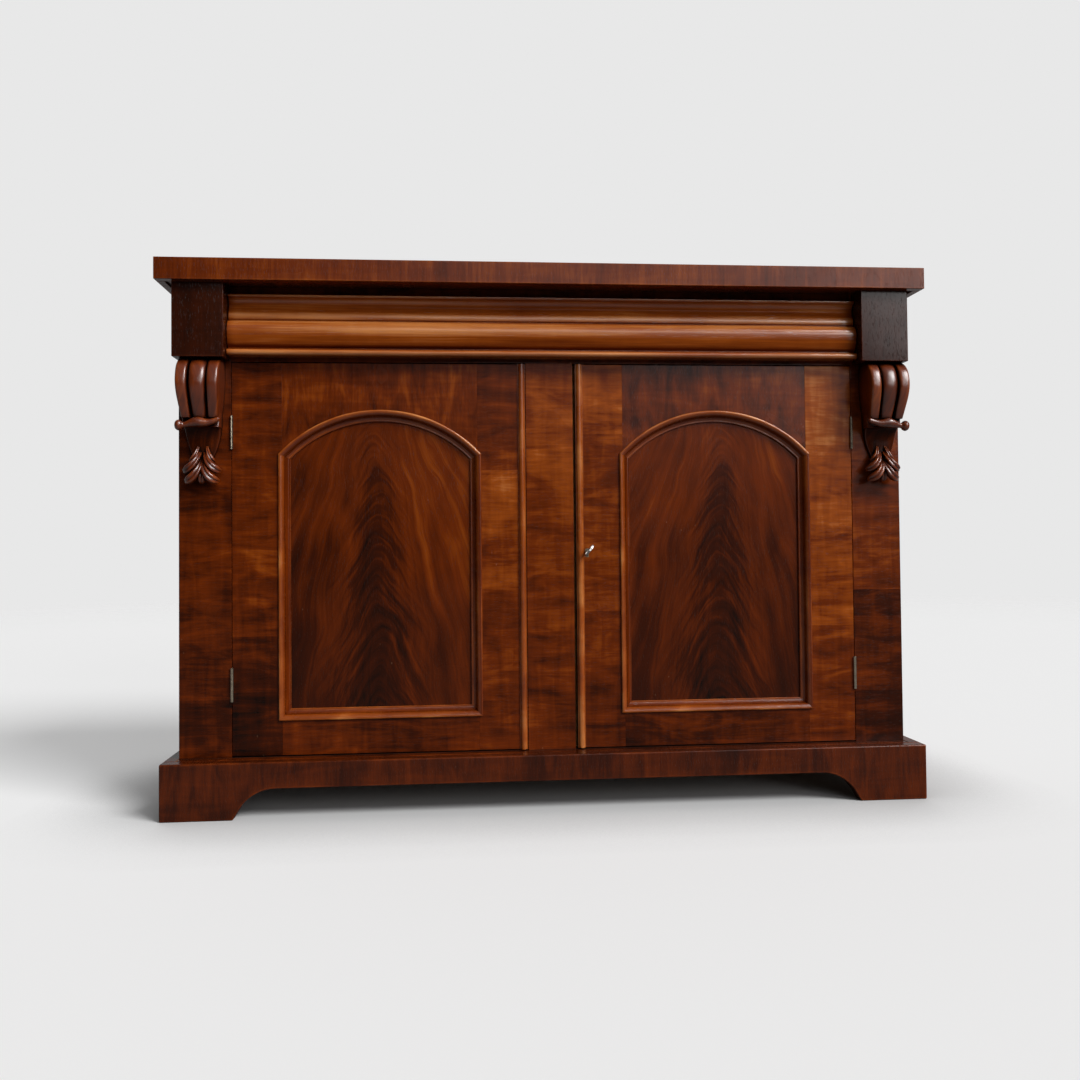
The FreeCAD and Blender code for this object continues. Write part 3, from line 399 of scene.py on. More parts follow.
def polished(wood, tone, pore, nick, seed, bare, roughness=0.24):
    """Colour, gloss and surface of a French-polished face with this tone.

    It is plain, unpolished wood where bare is 1.
    """
    colour = wood.ramp(tone, MAHOGANY)
    colour = wood.mix(wood.times(bare, 0.85), colour, UNPOLISHED)
    colour = wood.mix(wood.times(pore, 0.35), colour, GRIME)
    colour = wood.mix(wood.times(nick, 0.4), colour, BARE)
    wood.put(wood.shader.inputs["Base Color"], colour)
    smear = wood.noise(wood.stretched((6, 6, 6), (seed, 0, seed)), 3.0, 0.6, 1.0)
    gloss = wood.total((smear, 0.06), (pore, 0.15), (nick, 0.3), (bare, 0.4))
    wood.put(wood.shader.inputs["Roughness"], wood.math("ADD", gloss, roughness, clamp=True))
    wood.bump(wood.total((pore, -1.0), (smear, 0.6), (nick, -2.0)), 0.0002, 0.5)


def veneer(name, along, seed, base, figure=0.23, streaks=0.09, ripple=0.08, clouds=0.13,
           patches=(), stains=(), shine=0.13, worn=0.0, chips=0.6, level_face=False):
    """A board's finish; with level_face, grain along Z turns to run along X on its upper face.

    patches lists (height, change of tone) from the floor up, stains lists (x, height, reach
    along x, reach along z, change of tone): e^-(dx^2 + dz^2), with dx and dz in reaches. worn
    pales the arrises, where little wood lies behind the surface.
    """
    wood = Finish(name, Specular_IOR_Level=shine)
    if level_face:
        x, y, z = wood.axes()
        upper = wood.remapped(wood.axes(wood.facing)[2], 0.4, 0.6)
        wood.place = wood.mix(upper, wood.place, wood.joined(z, y, x))
    parts = grain(wood, along, seed, 1.1)
    cloud = wood.noise(wood.stretched((7, 7, 7), (seed, 0, seed)), 2.0, 0.5, 0.8)
    fibre = wood.noise(wood.stretched(drawn(along, 28, 430), (seed, seed, seed)), 2.0, 0.6)
    terms = [(1.0, base), (cloud, clouds), (fibre, 0.035)] + list(zip(parts, (figure, streaks, ripple)))
    if patches:
        wander = wood.noise(wood.stretched((30, 30, 1), (seed, 0, 0)))
        height = wood.plus(wood.axes()[2], wood.times(wander, 0.001))
        stops = [(z / ramp_height, 0.5 + change) for z, change in patches]
        step = wood.ramp(wood.over(height, ramp_height), stops, "CONSTANT")
        terms.append((wood.minus(step, 0.5), 1.0))
    for x, z, reach_x, reach_z, change in stains:
        away = wood.stretched((1 / reach_x, 0.0, 1 / reach_z), (-x / reach_x, 0.0, -z / reach_z))
        away = wood.plus(wood.noise(away, scale=1.5), wood.distance(away))
        terms.append((wood.math("POWER", 0.37, wood.times(away, away)), change))
    if worn:
        behind = wood.add("ShaderNodeAmbientOcclusion", samples=6, inside=True)
        behind.inputs["Distance"].default_value = arris_reach
        depth = wood.minus(behind.outputs["AO"], wood.times(cloud, 0.12))
        terms.append((wood.remapped(depth, 0.92, 0.55), worn))
    pore = pores(wood, along, seed)
    polished(wood, wood.total(*terms), pore, nicks(wood, seed, chips), seed, looks_inside(wood))
    return wood


print("tones:", len(MAHOGANY))

# %% [markdown]
# ## Boards with eased edges
# No old board has a knife edge: polish and dusting round every arris, and that fine rounding
# is what catches the light. Each board is copied from the frame, its flat faces are merged
# back into one, and a narrow bevel takes off the edges. Joints between boards then show as
# fine lines, as they do on real furniture.

# %% Easing
record = frame["record"]
body_of = {node: body for body, nodes in record["behaviour"]["bodies"].items() for node in nodes}


def dress(piece, finish, *nodes):
    """Give a new piece its finish and let it stand for these nodes."""
    piece.data.materials.append(finish.material)
    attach(piece, body_of[nodes[0]])
    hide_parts(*nodes)


def outward_mesh(name, parts, merged=False):
    """One smooth mesh of several parts, each its points and faces, all faces turned outwards.

    With merged, triangles that lie flat together become one face.
    """
    points, faces = [], []
    for corners, sides in parts:
        faces += [[index + len(points) for index in side] for side in sides]
        points += np.asarray(corners, float).tolist()
    mesh = bpy.data.meshes.new(name)
    mesh.from_pydata(points, [], faces)
    work = bmesh.new()
    work.from_mesh(mesh)
    if merged:
        bmesh.ops.remove_doubles(work, verts=work.verts, dist=1e-5)
        bmesh.ops.dissolve_limit(work, angle_limit=math.radians(1.0), verts=work.verts, edges=work.edges)
    bmesh.ops.recalc_face_normals(work, faces=work.faces)
    work.to_mesh(mesh)
    work.free()
    mesh.polygons.foreach_set("use_smooth", np.ones(len(mesh.polygons), bool))
    return mesh


def eased_piece(node, mesh, finish, width):
    """A piece of this mesh with a bevel of this width on every edge sharper than 40 degrees."""
    board = placed(node + "_eased", mesh)
    bevel = board.modifiers.new("eased", "BEVEL")
    bevel.width = width
    bevel.segments = 2
    bevel.limit_method = "ANGLE"
    bevel.angle_limit = math.radians(40)
    bevel.harden_normals = True
    dress(board, finish, node)


def eased(finish, width, *names):
    """Copies of CAD boards, their triangles merged back into flat faces, with eased edges."""
    for name in names:
        source = boards[name].data
        corners = [corner.co for corner in source.vertices]
        triangles = [list(triangle.vertices) for triangle in source.polygons]
        mesh = outward_mesh(name + "_eased", [(corners, triangles)], merged=True)
        eased_piece(name, mesh, finish, width)


print("boards can be eased")

# %% [markdown]
# ## Veneers on the frame
# The stiles, pilasters and muntin are cross-banded: their veneer runs across the board, in
# lengths butted one above another, so each board is a ladder of slightly different tones.
# The top rails run upright instead, and the rail below each panel runs level.

# %% Door frames, pilasters and muntin
# Each board: noise seed, base tone, and the lengths of veneer as (height, change of tone).
LADDERS = {
    "pilaster_left": (1.0, 0.36, [(0.0, -0.03), (0.13, -0.10), (0.19, -0.01), (0.25, 0.02), (0.45, -0.02),
                                 (0.60, 0.0)]),
    "pilaster_right": (2.0, 0.47, [(0.0, -0.24), (0.18, -0.15), (0.316, -0.25), (0.362, 0.01)]),
    "left_hinge_stile": (3.0, 0.44, [(0.0, -0.23), (0.20, -0.13), (0.295, 0.01), (0.56, -0.02)]),
    "left_closing_stile": (4.0, 0.49, [(0.0, -0.11), (0.23, -0.02), (0.42, 0.03), (0.52, 0.09),
                                       (0.578, -0.07)]),
    "centre_muntin": (5.0, 0.51, [(0.0, -0.10), (0.293, -0.035), (0.50, -0.01), (0.575, 0.02),
                                  (0.62, 0.07)]),
    "right_closing_stile": (6.0, 0.51, [(0.0, -0.10), (0.33, 0.01), (0.64, 0.13)]),
    "right_hinge_stile": (7.0, 0.57, [(0.0, -0.07), (0.30, 0.06), (0.47, 0.10), (0.62, 0.18)]),
}
STAINS = {
    "left_hinge_stile": [(-0.54, 0.11, 0.05, 0.10, -0.14), (-0.47, 0.66, 0.03, 0.06, -0.06)],
    "left_closing_stile": [(-0.06, 0.52, 0.03, 0.08, 0.10)],
    "right_closing_stile": [(0.11, 0.655, 0.05, 0.008, -0.12), (0.11, 0.675, 0.05, 0.006, -0.09)],
    "right_hinge_stile": [(0.50, 0.455, 0.06, 0.012, -0.22), (0.47, 0.30, 0.03, 0.05, 0.06)],
    "pilaster_right": [(0.60, 0.20, 0.04, 0.02, -0.06)],
}
frame_ease = 0.0004
for board, (seed, base, patches) in LADDERS.items():
    stains = STAINS.get(board, ())
    eased(veneer(board + "_veneer", "x", seed, base, patches=patches, stains=stains), frame_ease, board)
left_rail_stains = [(-0.47, 0.725, 0.06, 0.03, 0.10), (-0.17, 0.73, 0.03, 0.03, 0.08),
                    (-0.30, 0.715, 0.10, 0.025, 0.07)]
right_rail_stains = [(0.30, 0.715, 0.06, 0.03, 0.10), (0.15, 0.71, 0.03, 0.05, -0.05)]
left_rail_veneer = veneer("left_rail_veneer", "z", 8.0, 0.42, stains=left_rail_stains)
right_rail_veneer = veneer("right_rail_veneer", "z", 9.0, 0.41, stains=right_rail_stains, shine=0.22)
eased(left_rail_veneer, frame_ease, "left_top_rail")
eased(right_rail_veneer, frame_ease, "right_top_rail")
eased(veneer("foot_rail_veneer", "x", 10.0, 0.335), frame_ease, "left_bottom_rail", "right_bottom_rail")
print("ladders of veneer:", len(LADDERS))

# %% Carcass, frieze and plinth
case_ease, plinth_ease = 0.0010, 0.0022
block_veneer = veneer("block_veneer", "z", 12.0, 0.145, figure=0.06, streaks=0.05, ripple=0.04,
                      clouds=0.06, shine=0.22, worn=0.20, chips=0.1)
plinth_veneer = veneer("plinth_veneer", "z", 13.0, 0.30, figure=0.12, streaks=0.07, ripple=0.05,
                       clouds=0.13, shine=0.25, worn=0.34)
eased(veneer("side_veneer", "z", 11.0, 0.40), case_ease, "side_left", "side_right")
eased(veneer("rail_veneer", "x", 11.5, 0.36), frame_ease, "upper_rail", "lower_rail")
eased(block_veneer, case_ease, "frieze_block_left", "frieze_block_right")
eased(plinth_veneer, plinth_ease, "plinth_front", "plinth_side_left", "plinth_side_right", "plinth_ledge")

# %% [markdown]
# ## Top with a built-up edge
# A thin top is made to look heavier with strips glued under its front and end edges, and
# the whole edge is then veneered across. The board and its strips are prisms: a section
# that is carried straight along one axis.

# %% Built-up top
built_up = 0.0035
strip_depth, end_strip = 0.018, 0.013


def prism(section, start, end, axis):
    """Section points carried from start to end along axis 0 (x, section y z) or 1 (y, section x z)."""
    section = np.asarray(section, float)
    rows = [np.insert(section, axis, at, axis=1) for at in (start, end)]
    count = len(section)
    near, far = np.arange(count), np.arange(count) + count
    sides = np.stack([near, np.roll(near, -1), np.roll(far, -1), far], -1)
    return np.vstack(rows), sides.tolist() + [near.tolist(), far.tolist()]


low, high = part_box("top_board")
under = low.z - built_up
strip_back = low.y + strip_depth
parts = [prism([(low.y, high.z), (low.y, under), (strip_back, under), (strip_back, low.z),
                (high.y, low.z), (high.y, high.z)], low.x, high.x, 0)]
for end, inner in ((low.x, low.x + end_strip), (high.x, high.x - end_strip)):
    parts.append(prism([(end, low.z), (end, under), (inner, under), (inner, low.z)], strip_back, high.y, 1))
top_veneer = veneer("top_veneer", "z", 14.0, 0.505, figure=0.10, streaks=0.12, ripple=0.05,
                    clouds=0.08, shine=0.22, worn=0.16, level_face=True)
eased_piece("top_board", outward_mesh("top_board_eased", parts), top_veneer, case_ease)
print("top edge %.1f mm" % (1000 * (high.z - under)))

# %% [markdown]
# ## Flame panels
# Veneer cut from the crotch of the tree shows a dark plume with feathers sweeping down and
# outwards from it. Two coordinates follow that: a fan, constant along straight lines that
# spread from above the arch, and a chevron, constant along lines that arch over the plume
# and drop away on both sides of it. Noise drawn out along each gives the streaks, and the
# chevron takes over near the plume.

# %% Flame veneer
apex_radius = 0.014
fan_origin = 1.25
chevron_slope = 1.75
fan_streaks, fan_fibres, chevron_feathers = 34.0, 300.0, 62.0
band_fade = 0.12


def flame(name, panel, seed, plume_shift, base, lean=0.0, bands=()):
    """Flame veneer of one panel. climb is the height on the panel, from 0 to 1, and out is the
    distance from the plume's middle line, rounded off at apex_radius.

    fan = out / (fan_origin - climb); chevron = height + chevron_slope * out. lean pales the
    right half and darkens the left. bands lists (fan, half width, lowest and highest climb,
    change of tone) of single broad streaks.
    """
    low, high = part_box(panel)
    centre = (low.x + high.x) / 2 + plume_shift
    wood = Finish(name, Specular_IOR_Level=0.15)
    x, _, z = wood.axes()
    climb = wood.over(wood.minus(z, low.z), high.z - low.z)
    drift = wood.noise(wood.joined(0.0, seed, wood.times(z, 6.0)))
    across = wood.minus(wood.minus(x, centre), wood.times(drift, 0.016))
    squared = wood.plus(wood.times(across, across), apex_radius ** 2)
    out = wood.minus(wood.math("SQRT", squared), apex_radius)
    side = wood.times(across, 14.0)
    wobble = wood.noise(wood.stretched((9, 7, 4), (seed, 0, 0)), 3.0, 0.55, 0.4)
    drop = wood.minus(fan_origin, climb)
    fan = wood.over(wood.plus(out, wood.times(wobble, 0.012)), drop)
    along_fan = wood.joined(wood.times(fan, fan_streaks), side, wood.times(climb, 2.2))
    streaks = wood.noise(along_fan, 3.0, 0.5, 0.5)
    bend = wood.times(out, chevron_slope)
    chevron = wood.plus(wood.plus(z, bend), wood.times(wobble, 0.026))
    along_chevron = wood.joined(wood.times(chevron, chevron_feathers), side, wood.times(out, 14.0))
    feathers = wood.noise(along_chevron, 3.0, 0.55, 0.5)
    reach = wood.total((1.0, 0.026), (wood.minus(1.0, climb), 0.075))
    nearness = wood.remapped(wood.over(out, reach), 0.10, 1.4, 1.0, 0.0)
    width = wood.total((1.0, 0.006), (wood.minus(1.0, climb), 0.034))
    ragged = wood.plus(wood.over(out, width), wood.times(feathers, 0.6))
    plume = wood.remapped(ragged, 0.0, 1.9, 1.0, 0.0)
    plume = wood.times(plume, wood.remapped(climb, 0.98, 0.72))
    fine = wood.noise(wood.joined(wood.times(fan, fan_fibres), side, climb), 4.0)
    cloud = wood.noise(wood.stretched((12, 1, 6), (seed, 0, seed)), 3.0, 0.5, 0.9)
    streak_mix = wood.times(streaks, wood.minus(1.0, nearness))
    feather_mix = wood.times(feathers, nearness)
    terms = [(1.0, base), (climb, 0.20), (streak_mix, 0.17), (feather_mix, 0.18),
             (fine, 0.06), (cloud, 0.11), (plume, -0.17), (side, lean)]
    signed_fan = wood.times(fan, wood.math("SIGN", across))
    for middle, half_width, lowest, highest, change in bands:
        off = wood.math("ABSOLUTE", wood.minus(signed_fan, middle))
        band = wood.remapped(off, half_width, 0.0)
        for start, end in ((lowest, lowest + band_fade), (highest, highest - band_fade)):
            band = wood.times(band, wood.remapped(climb, start, end))
        terms.append((band, change))
    pore = pores(wood, "z", seed)
    polished(wood, wood.total(*terms), pore, nicks(wood, seed), seed, looks_back(wood))
    wood.wear([panel])


flame("left_flame", "left_panel", 21.0, -0.004, 0.28, lean=0.055, bands=[(0.094, 0.014, 0.30, 0.90, 0.16)])
flame("right_flame", "right_panel", 23.0, 0.010, 0.27)
print("panels veneered")

# %% [markdown]
# ## Surfaces from grids of points
# Mouldings and carving are made as a carver or a moulding plane makes them: a section that
# travels. Each sheet is a grid of points: one direction runs round the section, the other
# along the work. The grid also carries the grain's own coordinates, distance along the work
# and distance round the section, so the streaks follow a moulding round its arch.

# %% Curves and sheets
mm = 0.001
sharpest = 2.5 * mm


def flowing(table, count):
    """Smooth curve through the rows of a table, at count even steps.

    Between rows b and c, with neighbours a and d, at t from 0 to 1 (Catmull-Rom):
    (2b + (c-a) t + (2a-5b+4c-d) t^2 + (3b-a-3c+d) t^3) / 2.
    """
    rows = np.asarray(table, float)
    rows = np.vstack([2 * rows[0] - rows[1], rows, 2 * rows[-1] - rows[-2]])
    at = np.linspace(0, len(rows) - 3, count)
    span = np.minimum(at.astype(int), len(rows) - 4)
    t = (at - span)[:, None]
    a, b, c, d = (rows[span + step] for step in range(4))
    return (2 * b + (c - a) * t + (2 * a - 5 * b + 4 * c - d) * t ** 2
            + (3 * b - a - 3 * c + d) * t ** 3) / 2


def painted_light_across(at, changes):
    """Paleness across a section: the sum of change * e^-((at - place) / reach)^2, in mm."""
    # The paleness is painted light: painted highlight where change is positive, painted shade where it is
    # negative.
    paleness = [change * np.exp(-((at / mm - place) / reach) ** 2) for place, reach, change in changes]
    return sum(paleness)[None, :]


def oval(centre, radii, start, end, steps):
    """Arc of an ellipse: centre + radii * (cos, sin) from start to end, in degrees."""
    turn = np.radians(np.linspace(start, end, steps + 1))
    return np.asarray(centre) + np.column_stack([np.cos(turn), np.sin(turn)]) * np.asarray(radii)


def sheet(x, y, z, seed=0.0, wear_and_painted_light=0.0):
    """Points, grain coordinates and paleness of one member.

    Each row is a closed ring round the section. The last argument makes the member paler,
    or darker where it is negative, for wear and as painted highlight and painted shade; it is
    one number, or one for each point of the ring.
    """
    points = np.stack(np.broadcast_arrays(x, y, z), -1).astype(float)
    along = np.linalg.norm(np.diff(points.mean(1), axis=0), axis=-1)
    around = np.linalg.norm(np.diff(points[0], axis=0), axis=-1)
    grain_at = np.zeros_like(points)
    grain_at[..., 0] = np.concatenate([[0.0], np.cumsum(along)])[:, None]
    grain_at[..., 1] = np.concatenate([[0.0], np.cumsum(around)])[None, :]
    grain_at[..., 2] = seed
    return points, grain_at, wear_and_painted_light


def crests(points):
    """How sharply each point stands out of its section, from 1 on a crest to -1 in a quirk.

    The turn of the ring at a point, over its spacing, is its curvature, and is positive where
    it turns towards the ring's middle. At the sharpest radius and below it counts as 1.
    """
    edge = np.roll(points, -1, 1) - points
    length = np.linalg.norm(edge, axis=-1, keepdims=True) + 1e-9
    turn = edge / length - np.roll(edge / length, 1, 1)
    inward = points.mean(1, keepdims=True) - points
    inward /= np.linalg.norm(inward, axis=-1, keepdims=True) + 1e-9
    spacing = (length + np.roll(length, 1, 1))[..., 0] / 2
    crest = np.clip((turn * inward).sum(-1) / spacing * sharpest, -1, 1)
    return (np.roll(crest, 1, 1) + 2 * crest + np.roll(crest, -1, 1)) / 4


def carve(name, sheets, finish, *nodes, sharp=38):
    """One object from several sheets, each capped at both ends.

    It is smooth except where faces meet at over sharp degrees.
    """
    parts = []
    for points, *_ in sheets:
        rows, columns = points.shape[:2]
        index = np.arange(rows * columns).reshape(rows, columns)
        ring = np.column_stack([index, index[:, 0]])
        quads = np.stack([ring[:-1, :-1], ring[:-1, 1:], ring[1:, 1:], ring[1:, :-1]], -1)
        caps = [index[0].tolist(), index[-1].tolist()]
        parts.append((points.reshape(-1, 3), quads.reshape(-1, 4).tolist() + caps))
    mesh = outward_mesh(name, parts)
    mesh.attributes.new("grain", "FLOAT_VECTOR", "POINT")
    values = np.concatenate([grain_at.reshape(-1, 3) for _, grain_at, _ in sheets])
    mesh.attributes["grain"].data.foreach_set("vector", values.astype(np.float32).ravel())
    mesh.attributes.new("crest", "FLOAT", "POINT")
    # Each point's crest, paler for wear, plus its member's painted light: highlight where positive, shade
    # where negative.
    values = np.concatenate([(crests(points) + wear_and_painted_light).ravel() for points, _, wear_and_painted_light in sheets])
    mesh.attributes["crest"].data.foreach_set("value", values.astype(np.float32))
    mesh.set_sharp_from_angle(angle=math.radians(sharp))
    print(name, len(mesh.polygons), "faces")
    dress(placed(name, mesh), finish, *nodes)


# %% Wood of worked members
def worked_wood(name, seed, base, streaks=0.10, figure=0.10, depth=0.16, crest=0.16, reach=0.010,
                shine=0.5, roughness=0.24, patches=0.10, length=1.0):
    """Polished wood of mouldings and carving.

    Dust and polish darken and dull the hollows, which see little of the open air around them;
    Hollows, which see little of the open air around them, are darkened as painted shade,
    standing also for dust, and their polish is dulled. Rubbing pales the crests, and each
    member's painted highlight and painted shade are added on. The pattern follows the grid's
    own grain coordinates, and is length times as long as on a short member.
    """
    wood = Finish(name, Specular_IOR_Level=shine)
    grain_at = wood.add("ShaderNodeAttribute", attribute_name="grain").outputs["Vector"]
    wood.place = wood.stretched((1 / length, 1, 1), vector=grain_at)
    broad, fine, ripple = grain(wood, "x", seed, 0.3)
    fibre = wood.noise(wood.stretched((35, 480, 480), (seed, seed, seed)), 2.0, 0.6)
    patch = wood.noise(wood.stretched((14, 14, 14), (seed, seed, 0)))
    # Ambient occlusion darkens the hollows: painted shade, standing also for dust.
    hollow = wood.add("ShaderNodeAmbientOcclusion", samples=6)
    hollow.inputs["Distance"].default_value = reach
    open_share = wood.remapped(hollow.outputs["AO"], 0.30, 0.97)
    # The crest attribute carries wear on the crests and each member's painted highlight and painted shade.
    crest_and_painted_light = wood.add("ShaderNodeAttribute", attribute_name="crest").outputs["Fac"]
    wear_and_painted_light = wood.times(crest_and_painted_light, wood.plus(0.8, wood.times(patch, 0.6)))
    tone = wood.total((1.0, base - depth), (open_share, depth), (broad, figure), (fine, streaks),
                      (ripple, 0.03), (fibre, 0.05), (patch, patches), (wear_and_painted_light, crest))
    dull = wood.remapped(crest_and_painted_light, -0.9, -0.3)
    polish = wood.remapped(wood.times(open_share, dull), 0.2, 0.95, 0.10 * shine, shine)
    wood.put(wood.shader.inputs["Specular IOR Level"], polish)
    pore = pores(wood, "x", seed)
    polished(wood, tone, pore, nicks(wood, seed, 0.5), seed, looks_back(wood), roughness)
    return wood


# depth sets how much ambient occlusion darkens the hollows: painted shade, standing also for dust.
moulding_wood = worked_wood("moulding_wood", 15.0, 0.56, depth=0.14, crest=0.22, reach=0.004)
print("sheets and worked wood ready")

# %% [markdown]
# ## Panel mouldings
# A bolection stands proud of the frame and laps it: a round along its outer edge, a quirk,
# and a hollow that falls away to the panel and ends in a low lip. Under the arch the hollow
# turns from the light, so the round's crest shows as a bright line, and a painted highlight
# makes it brighter still. The same section runs up both sides, along the bottom and round
# the arch. Every line of it keeps its distance from the outer edge, so at each mitre the
# lines of both lengths meet by themselves. Each length has its own painted light: rows of
# place and reach across the section, in mm, and paleness, which is painted highlight where
# positive and painted shade where negative.

# %% Panel mouldings
face_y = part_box("left_hinge_stile")[0].y
arch_rise = 76 * mm
bolection = np.vstack([
    [(0, 0)],
    oval((2.4, 2.0), (2.4, 2.4), 180, 90, 6),
    oval((2.4, -3.2), (7.6, 7.6), 90, 10, 12)[1:],
    [(10.1, -2.7)],
    oval((17.6, -2.2), (6.9, 6.4), 180, 265, 10),
    oval((18.1, -9.0), (0.9, 0.9), 130, 0, 4),
    [(19, -12), (6, -12), (6, 0)],
]) * mm
# Painted highlight and painted shade across each length, set for how it faces the lamps: left upright,
# right upright, foot and arch.
left_painted_light = [(3, 5, 0.75), (14, 4, -1.0)]
right_painted_light = [(2, 3, -0.9), (9, 3, 0.6)]
foot_painted_light = [(2.2, 2.2, 0.5), (6, 4, 0.2), (13, 3, -0.5), (18, 1, 1.0)]
arch_painted_light = [(2.2, 2.2, 1.0), (13, 3, -0.1), (18, 1, 0.5)]


def panel_mouldings(door):
    """Section point u in from the outer edge and h proud of the face, at share t of its length.

    Uprights: x = half - u, z from low + u to the arch's spring line at that u.
    Arch: x = (R - u) sin a, z = arch centre + (R - u) cos a, with sin of the last a equal
    to (half - u) / (R - u), so that it ends on the uprights' own lines.
    """
    low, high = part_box(door + "_straight_mouldings")
    middle, half = (low.x + high.x) / 2, (high.x - low.x) / 2
    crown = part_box(door + "_arch_moulding")[1].z
    radius = (half ** 2 + arch_rise ** 2) / (2 * arch_rise)
    arch_z = crown - radius
    u, h = bolection.T
    u, y = u[None, :], face_y - h[None, :]
    t = np.linspace(0, 1, 25)[:, None]
    spring = arch_z + np.sqrt((radius - u) ** 2 - (half - u) ** 2)
    # Each upright gets its own table of painted highlight and painted shade.
    sides = [sheet(middle + side * (half - u), y, low.z + u + t * (spring - low.z - u), seed=side,
                   wear_and_painted_light=painted_light_across(bolection[:, 0], polish))
             for side, polish in ((-1, left_painted_light), (1, right_painted_light))]
    foot = sheet(middle + (2 * t - 1) * (half - u), y, low.z + u, seed=0.5,
                 wear_and_painted_light=painted_light_across(bolection[:, 0], foot_painted_light))
    carve(door + "_panel_moulding", sides + [foot], moulding_wood, door + "_straight_mouldings")
    t = np.linspace(-1, 1, 97)[:, None]
    turn = t * np.arcsin((half - u) / (radius - u))
    # The whole arch is painted a little darker: painted shade, as its hollow turns away from the light.
    arch = sheet(middle + (radius - u) * np.sin(turn), y, arch_z + (radius - u) * np.cos(turn), seed=2.0,
                 wear_and_painted_light=painted_light_across(bolection[:, 0], arch_painted_light) - 0.1)
    carve(door + "_panel_arch", [arch], moulding_wood, door + "_arch_moulding")


panel_mouldings("left")
panel_mouldings("right")


# %% Astragals
def astragal(node, wear_and_painted_light):
    """Bead between two fillets, carried straight up the closing stile."""
    low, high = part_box(node)
    middle, half = (low.x + high.x) / 2, (high.x - low.x) / 2
    edge, fillet, rise = 1.6 * mm, 1.5 * mm, high.y - low.y
    bead = oval((0, edge), (half - fillet, rise - edge), 180, 0, 20)
    section = np.vstack([[(-half, 0), (-half, edge * 0.7), (-half + 0.3 * mm, edge)], bead,
                         [(half - 0.3 * mm, edge), (half, edge * 0.7), (half, 0)]])
    s, h = section.T
    t = np.linspace(0, 1, 41)[:, None]
    strip = sheet(middle + s[None, :], face_y - h[None, :], low.z + t * (high.z - low.z), seed=middle,
                  wear_and_painted_light=wear_and_painted_light)
    carve(node + "_bead", [strip], moulding_wood, node)


# Both beads are made paler, the right one more: wear and painted highlight.
astragal("left_astragal", 0.4)
astragal("right_astragal", 0.95)

# %% [markdown]
# ## Drawer front
# The whole frieze is one drawer. Its face is a tall ogee, run by hand with moulding planes:
# from the bottom a lip bead, a quirk, a full belly, a narrow quirk, a rounded fillet, a hollow
# and a top fillet. Straight, pale wood was picked for it, and the belly catches the light all
# along. The lip and the fillet carry a painted highlight; the hollow and the foot of the belly
# carry painted shade.

# %% Drawer front
# depth sets how much ambient occlusion darkens the hollows: painted shade, standing also for dust.
drawer_wood = worked_wood("drawer_wood", 16.0, 0.81, streaks=0.17, figure=0.16, depth=0.30, crest=0.14,
                          reach=0.016, shine=0.75, roughness=0.21, patches=0.06, length=3.0)
ogee = np.vstack([
    [(-0.6, 0), (23.2, 0)],
    oval((23.7, 5.0), (5.3, 5.0), -90, 90, 14),
    [(20, 10.4), (15.5, 12.3)],
    flowing([(15.5, 13.9), (20.6, 19.0), (24.3, 27.0), (26.4, 35.5), (27, 43.5)], 16),
    oval((9.6, 43.5), (17.4, 17.4), 0, 81, 20)[1:],
    [(11.3, 61.2), (11.3, 61.8), (12.0, 62.3)],
    flowing([(12.6, 63.2), (12.9, 67), (12.7, 70.5), (11.6, 74.5), (9.8, 78.5), (8.0, 82.5), (7.1, 87.5),
             (8.7, 93.5), (12.6, 98), (17.8, 100.2)], 36),
    [(18, 100.6), (18, 103.6), (17.6, 104), (-0.6, 104)],
]) * mm
# Painted light across the face: painted highlight on the lip, the belly's middle and the rounded fillet,
# painted shade on the foot of the belly and in the hollow.
face_painted_light = [(6, 3, 0.6), (26, 10, -1.4), (48, 14, 0.3), (68.5, 4.5, 1.2), (87, 9, -0.9)]
low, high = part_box("drawer_front")
proud, rise = ogee.T
t = np.linspace(0, 1, 121)[:, None]
moulded = sheet(low.x + t * (high.x - low.x), face_y - proud[None, :], low.z + rise[None, :],
                wear_and_painted_light=painted_light_across(rise, face_painted_light))
half, inner_low, inner_high = 0.5399, 782 * mm, 869 * mm
near, far = 0.6 * mm, 14 * mm
board = np.array([(near, inner_low), (far, inner_low), (far, inner_high), (near, inner_high)])
backing = sheet(-half + t[::20] * 2 * half, face_y + board[None, :, 0], board[None, :, 1], seed=3.0)
carve("drawer_face", [moulded, backing], drawer_wood, "drawer_front")

# %% [markdown]
# ## Corbels
# Under each frieze block hangs a console carved from the solid: three reeds swell out below
# the block and taper to a waved roll with a knob at its outer end; under it a hollow neck
# runs into a drop of acanthus. Reeds, ground and neck are stacks of level sections; the roll
# is turned about a waving line; each leaf finger is a grooved tube that follows a bent line
# and ends in a round, curled tip. All are listed in shares of the console's width, projection
# and height.

# %% Console parts
console_width, console_projection, console_height = 70 * mm, 59 * mm, 208 * mm
console_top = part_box("frieze_block_left")[0].z
console_inset = 41 * mm
console_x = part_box("side_right")[1].x - console_inset


def level_stack(table, nose, square, count=60, turns=20):
    """Rows: drop, middle, half width and projection, all shares. A ring at each drop:
    x = middle + half |cos a|^square, projection - nose (1 - sin a ^ square), then straight back.
    """
    drop, middle, half, proud = (column[:, None] for column in flowing(table, count).T)
    turn = np.linspace(np.pi, 0, turns + 1)[None, :]
    cosine, sine = np.cos(turn), np.sin(turn)
    x = middle + half * np.sign(cosine) * np.abs(cosine) ** square
    out = proud - nose * (1 - np.clip(sine, 0, 1) ** square)
    x = np.hstack([x[:, :1], x, x[:, -1:]])
    out = np.hstack([np.zeros_like(drop), out, np.zeros_like(drop)])
    return console_sheet(x, np.maximum(out, 0), drop)


